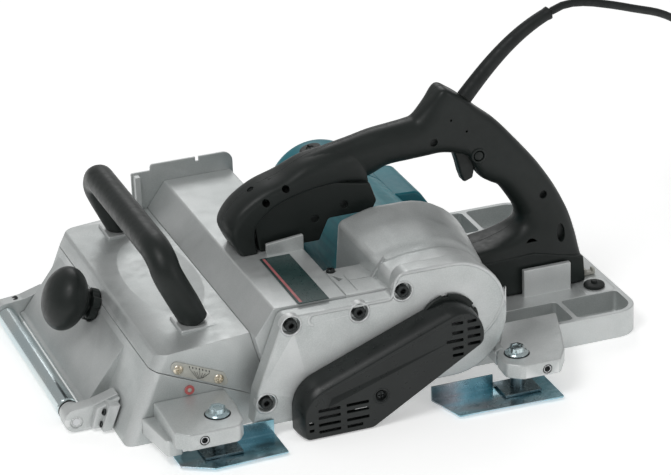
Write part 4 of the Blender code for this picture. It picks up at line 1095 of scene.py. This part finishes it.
def make_brackets():
    near = HOUSING_NEAR - 0.3
    edge = -159.3
    front = prism([(77, near), (77, -251, 3), (88, -262, 5), (140, -262, 9), (148, -250, 8), (152, -215, 6),
                   (152, near)],
                  27.0, 45.0, 1.8, "z", segments=3)
    join(front, prism([(64, near), (72, -238, 4), (88, -238, 3), (100, near)], 12.0, 30.0, 1.6, "z"),
         prism([(134, near), (134, -214, 3), (150, -214, 3), (150, near)], 20.0, 30.0, 1.2, "z"))
    rear = prism([(466, edge), (431, -224, 12), (430, -248, 8), (444, -260, 10), (486, -260, 6),
                  (499, -240, 8), (512, -204, 8), (526, edge)], 29.0, 45.0, 1.8, "z", segments=3)
    join(rear, prism([(476, edge), (474, -200, 4), (506, -206, 4), (516, edge)], 12.0, 31.0, 1.6, "z"))
    for name, bracket, bolt, side, body in (("front", front, Vector((128, -230, 0)), (104, -262),
                                             "front_sole"),
                                            ("rear", rear, Vector((450, -230, 0)), (471, -260), "planer")):
        cut(bracket, rod(5.4, 20, 60, bolt, UP, 0, 32),
            rod(5.2, side[1] - 5, side[1] + 14, (side[0], 0, 36), ACROSS, 0, 32))
        finish(bracket, name + "_bracket_casting", "silver", body, [name + "_bracket"])
        lining = lathe([(4.1, 0.4), (3.2, 0.6), (2.9, 10.0), (4.1, 10.0), (4.1, 0.4)],
                       Vector((side[0], side[1], 36)), ACROSS, 24)
        finish(lining, name + "_bracket_bushing", "steel", body)
        top = 45.3
        head = lathe([(0, top + 7.4), (4.2, top + 7.4), (4.8, top + 8.4), (7.2, top + 8.4), (8.2, top + 7.4),
                      (8.4, top + 3.2), (11.2, top + 2.2), (12.2, top + 1.2), (12.2, top), (5, top), (5, 2.8),
                      (9, 2.8), (9, 0.6), (0, 0.6)], ORIGIN, UP, 72,
                     flutes=hexagon)
        head.data.transform(Matrix.Translation(bolt))
        finish(head, name + "_hex_bolt", "zinc", body, [name + "_guide_bolt"], smooth=25.0)
        washer = lathe([(13.4, 0.0), (13.4, 0.22), (5.2, 0.22), (5.2, 0.0), (13.4, 0.0)], bolt + UP * 45.03,
                       UP, 48)
        finish(washer, name + "_bolt_washer", "oxide", body)
        clamp = block((-20, -17, 5.3), (20, 17, 8.3), 0.5, turn=Matrix.Translation(bolt))
        cut(clamp, rod(5.3, 0, 20, bolt, UP, 0, 32))
        sleeve = lathe([(5.2, 8.4), (7.2, 8.4), (7.2, 27.0), (5.2, 27.0), (5.2, 8.4)], bolt, UP, 32)
        finish(merge(clamp, sleeve), name + "_clamp_block", "zinc_dark", body, [name + "_clamp_plate"])


def hexagon(angle, height):
    if not 48.6 < height < 53.8:
        return 1.0
    return math.cos(math.pi / 6.0) / math.cos((angle % (math.pi / 3.0)) - math.pi / 6.0) * 1.04


def make_guides():
    shapes = (
        ("front", Vector((128, -230, 0)), (150, 190),
         [(82, -219, 2), (82, -247, 2), (112, -265, 2), (190, -262, 2), (190, -217), (150, -217),
          (150, -219)]),
        ("rear", Vector((450, -230, 0)), (360, 428),
         [(360, -217), (373, -262, 2), (487, -266, 2), (487, -212, 2), (430, -212, 2), (430, -217)]),
    )
    for name, bolt, span, outline in shapes:
        plate = prism(outline, 3.0, 5.0, 0.45, "z")
        bend = prism([(-219.0, 3.4), (-217.2, 3.0), (-217.2, 20), (-219.0, 20)], span[0], span[1], 0.4, "x")
        join(plate, bend)
        cut(plate, block((-5.4, -16, 0), (5.4, 16, 10), 1.5, turn=Matrix.Translation(bolt)))
        finish(plate, name + "_guide_sheet", "plate", name + "_guide", [name + "_guide_plate"])


# --- scale on the near side ---
def make_scale():
    near = HOUSING_NEAR

    def at(x, lift):
        return (x, seam_height(x) + lift)
    plate = prism([(*at(101.5, 3.2), 3), (*at(153, 3.2), 3), (*at(156.5, 8), 4), (*at(153, 18), 5),
                   (*at(99, 18), 5), (*at(97.5, 8), 4)], near - 1.8, near - 0.3, 0.4)
    finish(plate, "scale_plate_blank", "cream", replaces=["depth_scale"])
    marks = []
    for index in range(7):
        x = 116.5 + index * 3.4
        end = Vector((x, 0, seam_height(x) + 13.8))
        start = Vector((124.5 + index * 0.8, 0, seam_height(127) + 5.2))
        line = end - start
        turn = line.to_track_quat("X", "Y").to_matrix().to_4x4()
        turn = Matrix.Translation(Vector((start.x, near - 1.95, start.z))) @ turn
        marks.append(block((0, -0.12, -0.3), (line.length * (1.0 if index % 3 == 0 else 0.8), 0.12, 0.3),
                           turn=turn))
        marks.append(block((x - 0.4, near - 2.05, seam_height(x) + 14.6),
                           (x + 0.4, near - 1.8, seam_height(x) + 16.6)))
    finish(merge(*marks), "scale_marks", "oxide")
    screws = [head_screw((x, near - 3.6, seam_height(x) + lift), NEARWARD, 5.4, height=2.0)
              for x, lift in ((105.0, 9.6), (146.5, 9.4))]
    finish(merge(*screws), "scale_screws", "brass")
    ring = lathe([(0, 0.3), (5.0, 0.3), (5.0, 1.4), (3.7, 1.4), (3.4, 1.0), (0, 1.0)], (115.5, near, 51.2),
                 NEARWARD, 40)
    dot = lathe([(0, 1.7), (1.9, 1.7), (2.1, 1.5), (2.1, 0.9), (0, 0.9)], (115.5, near, 51.2), NEARWARD, 24)
    finish(ring, "depth_ring_pointer", "red", "front_sole", ["depth_pointer"])
    finish(dot, "depth_ring_dot", "cream", "front_sole")


make_camera()
LOOKS = make_materials()
CORD, CORD_LENGTH = make_cord()
PLUG_PIECES = make_plug()
for make in (make_stage, make_handle, make_controls, make_strain_relief, make_front, make_knob, make_roller,
             make_casing, make_side_casing, make_belt_cover, make_motor_housing, make_outlet, make_label,
             make_rear_base, make_brackets, make_guides, make_scale):
    make()

# the pieces inside keep their own shape and take a better surface
NODE_LOOKS = {
    "steel": ["armature", "stator", "motor_pulley", "drum_pulley", "motor_bearing_near", "motor_bearing_far",
              "drum_bearing_near", "drum_bearing_far", "cutter_drum", "blade_1", "blade_2", "blade_clamp_1",
              "blade_clamp_2", "roller_axle", "depth_screw"],
    "copper": ["commutator"],
    "carbon": ["carbon_brush_front", "carbon_brush_back"],
    "rubber": ["drive_belt"],
    "black": ["switch_body", "cooling_fan"],
}
for look, names in NODE_LOOKS.items():
    for name in names:
        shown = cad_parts[name]
        shown.data.materials.clear()
        shown.data.materials.append(LOOKS[look])
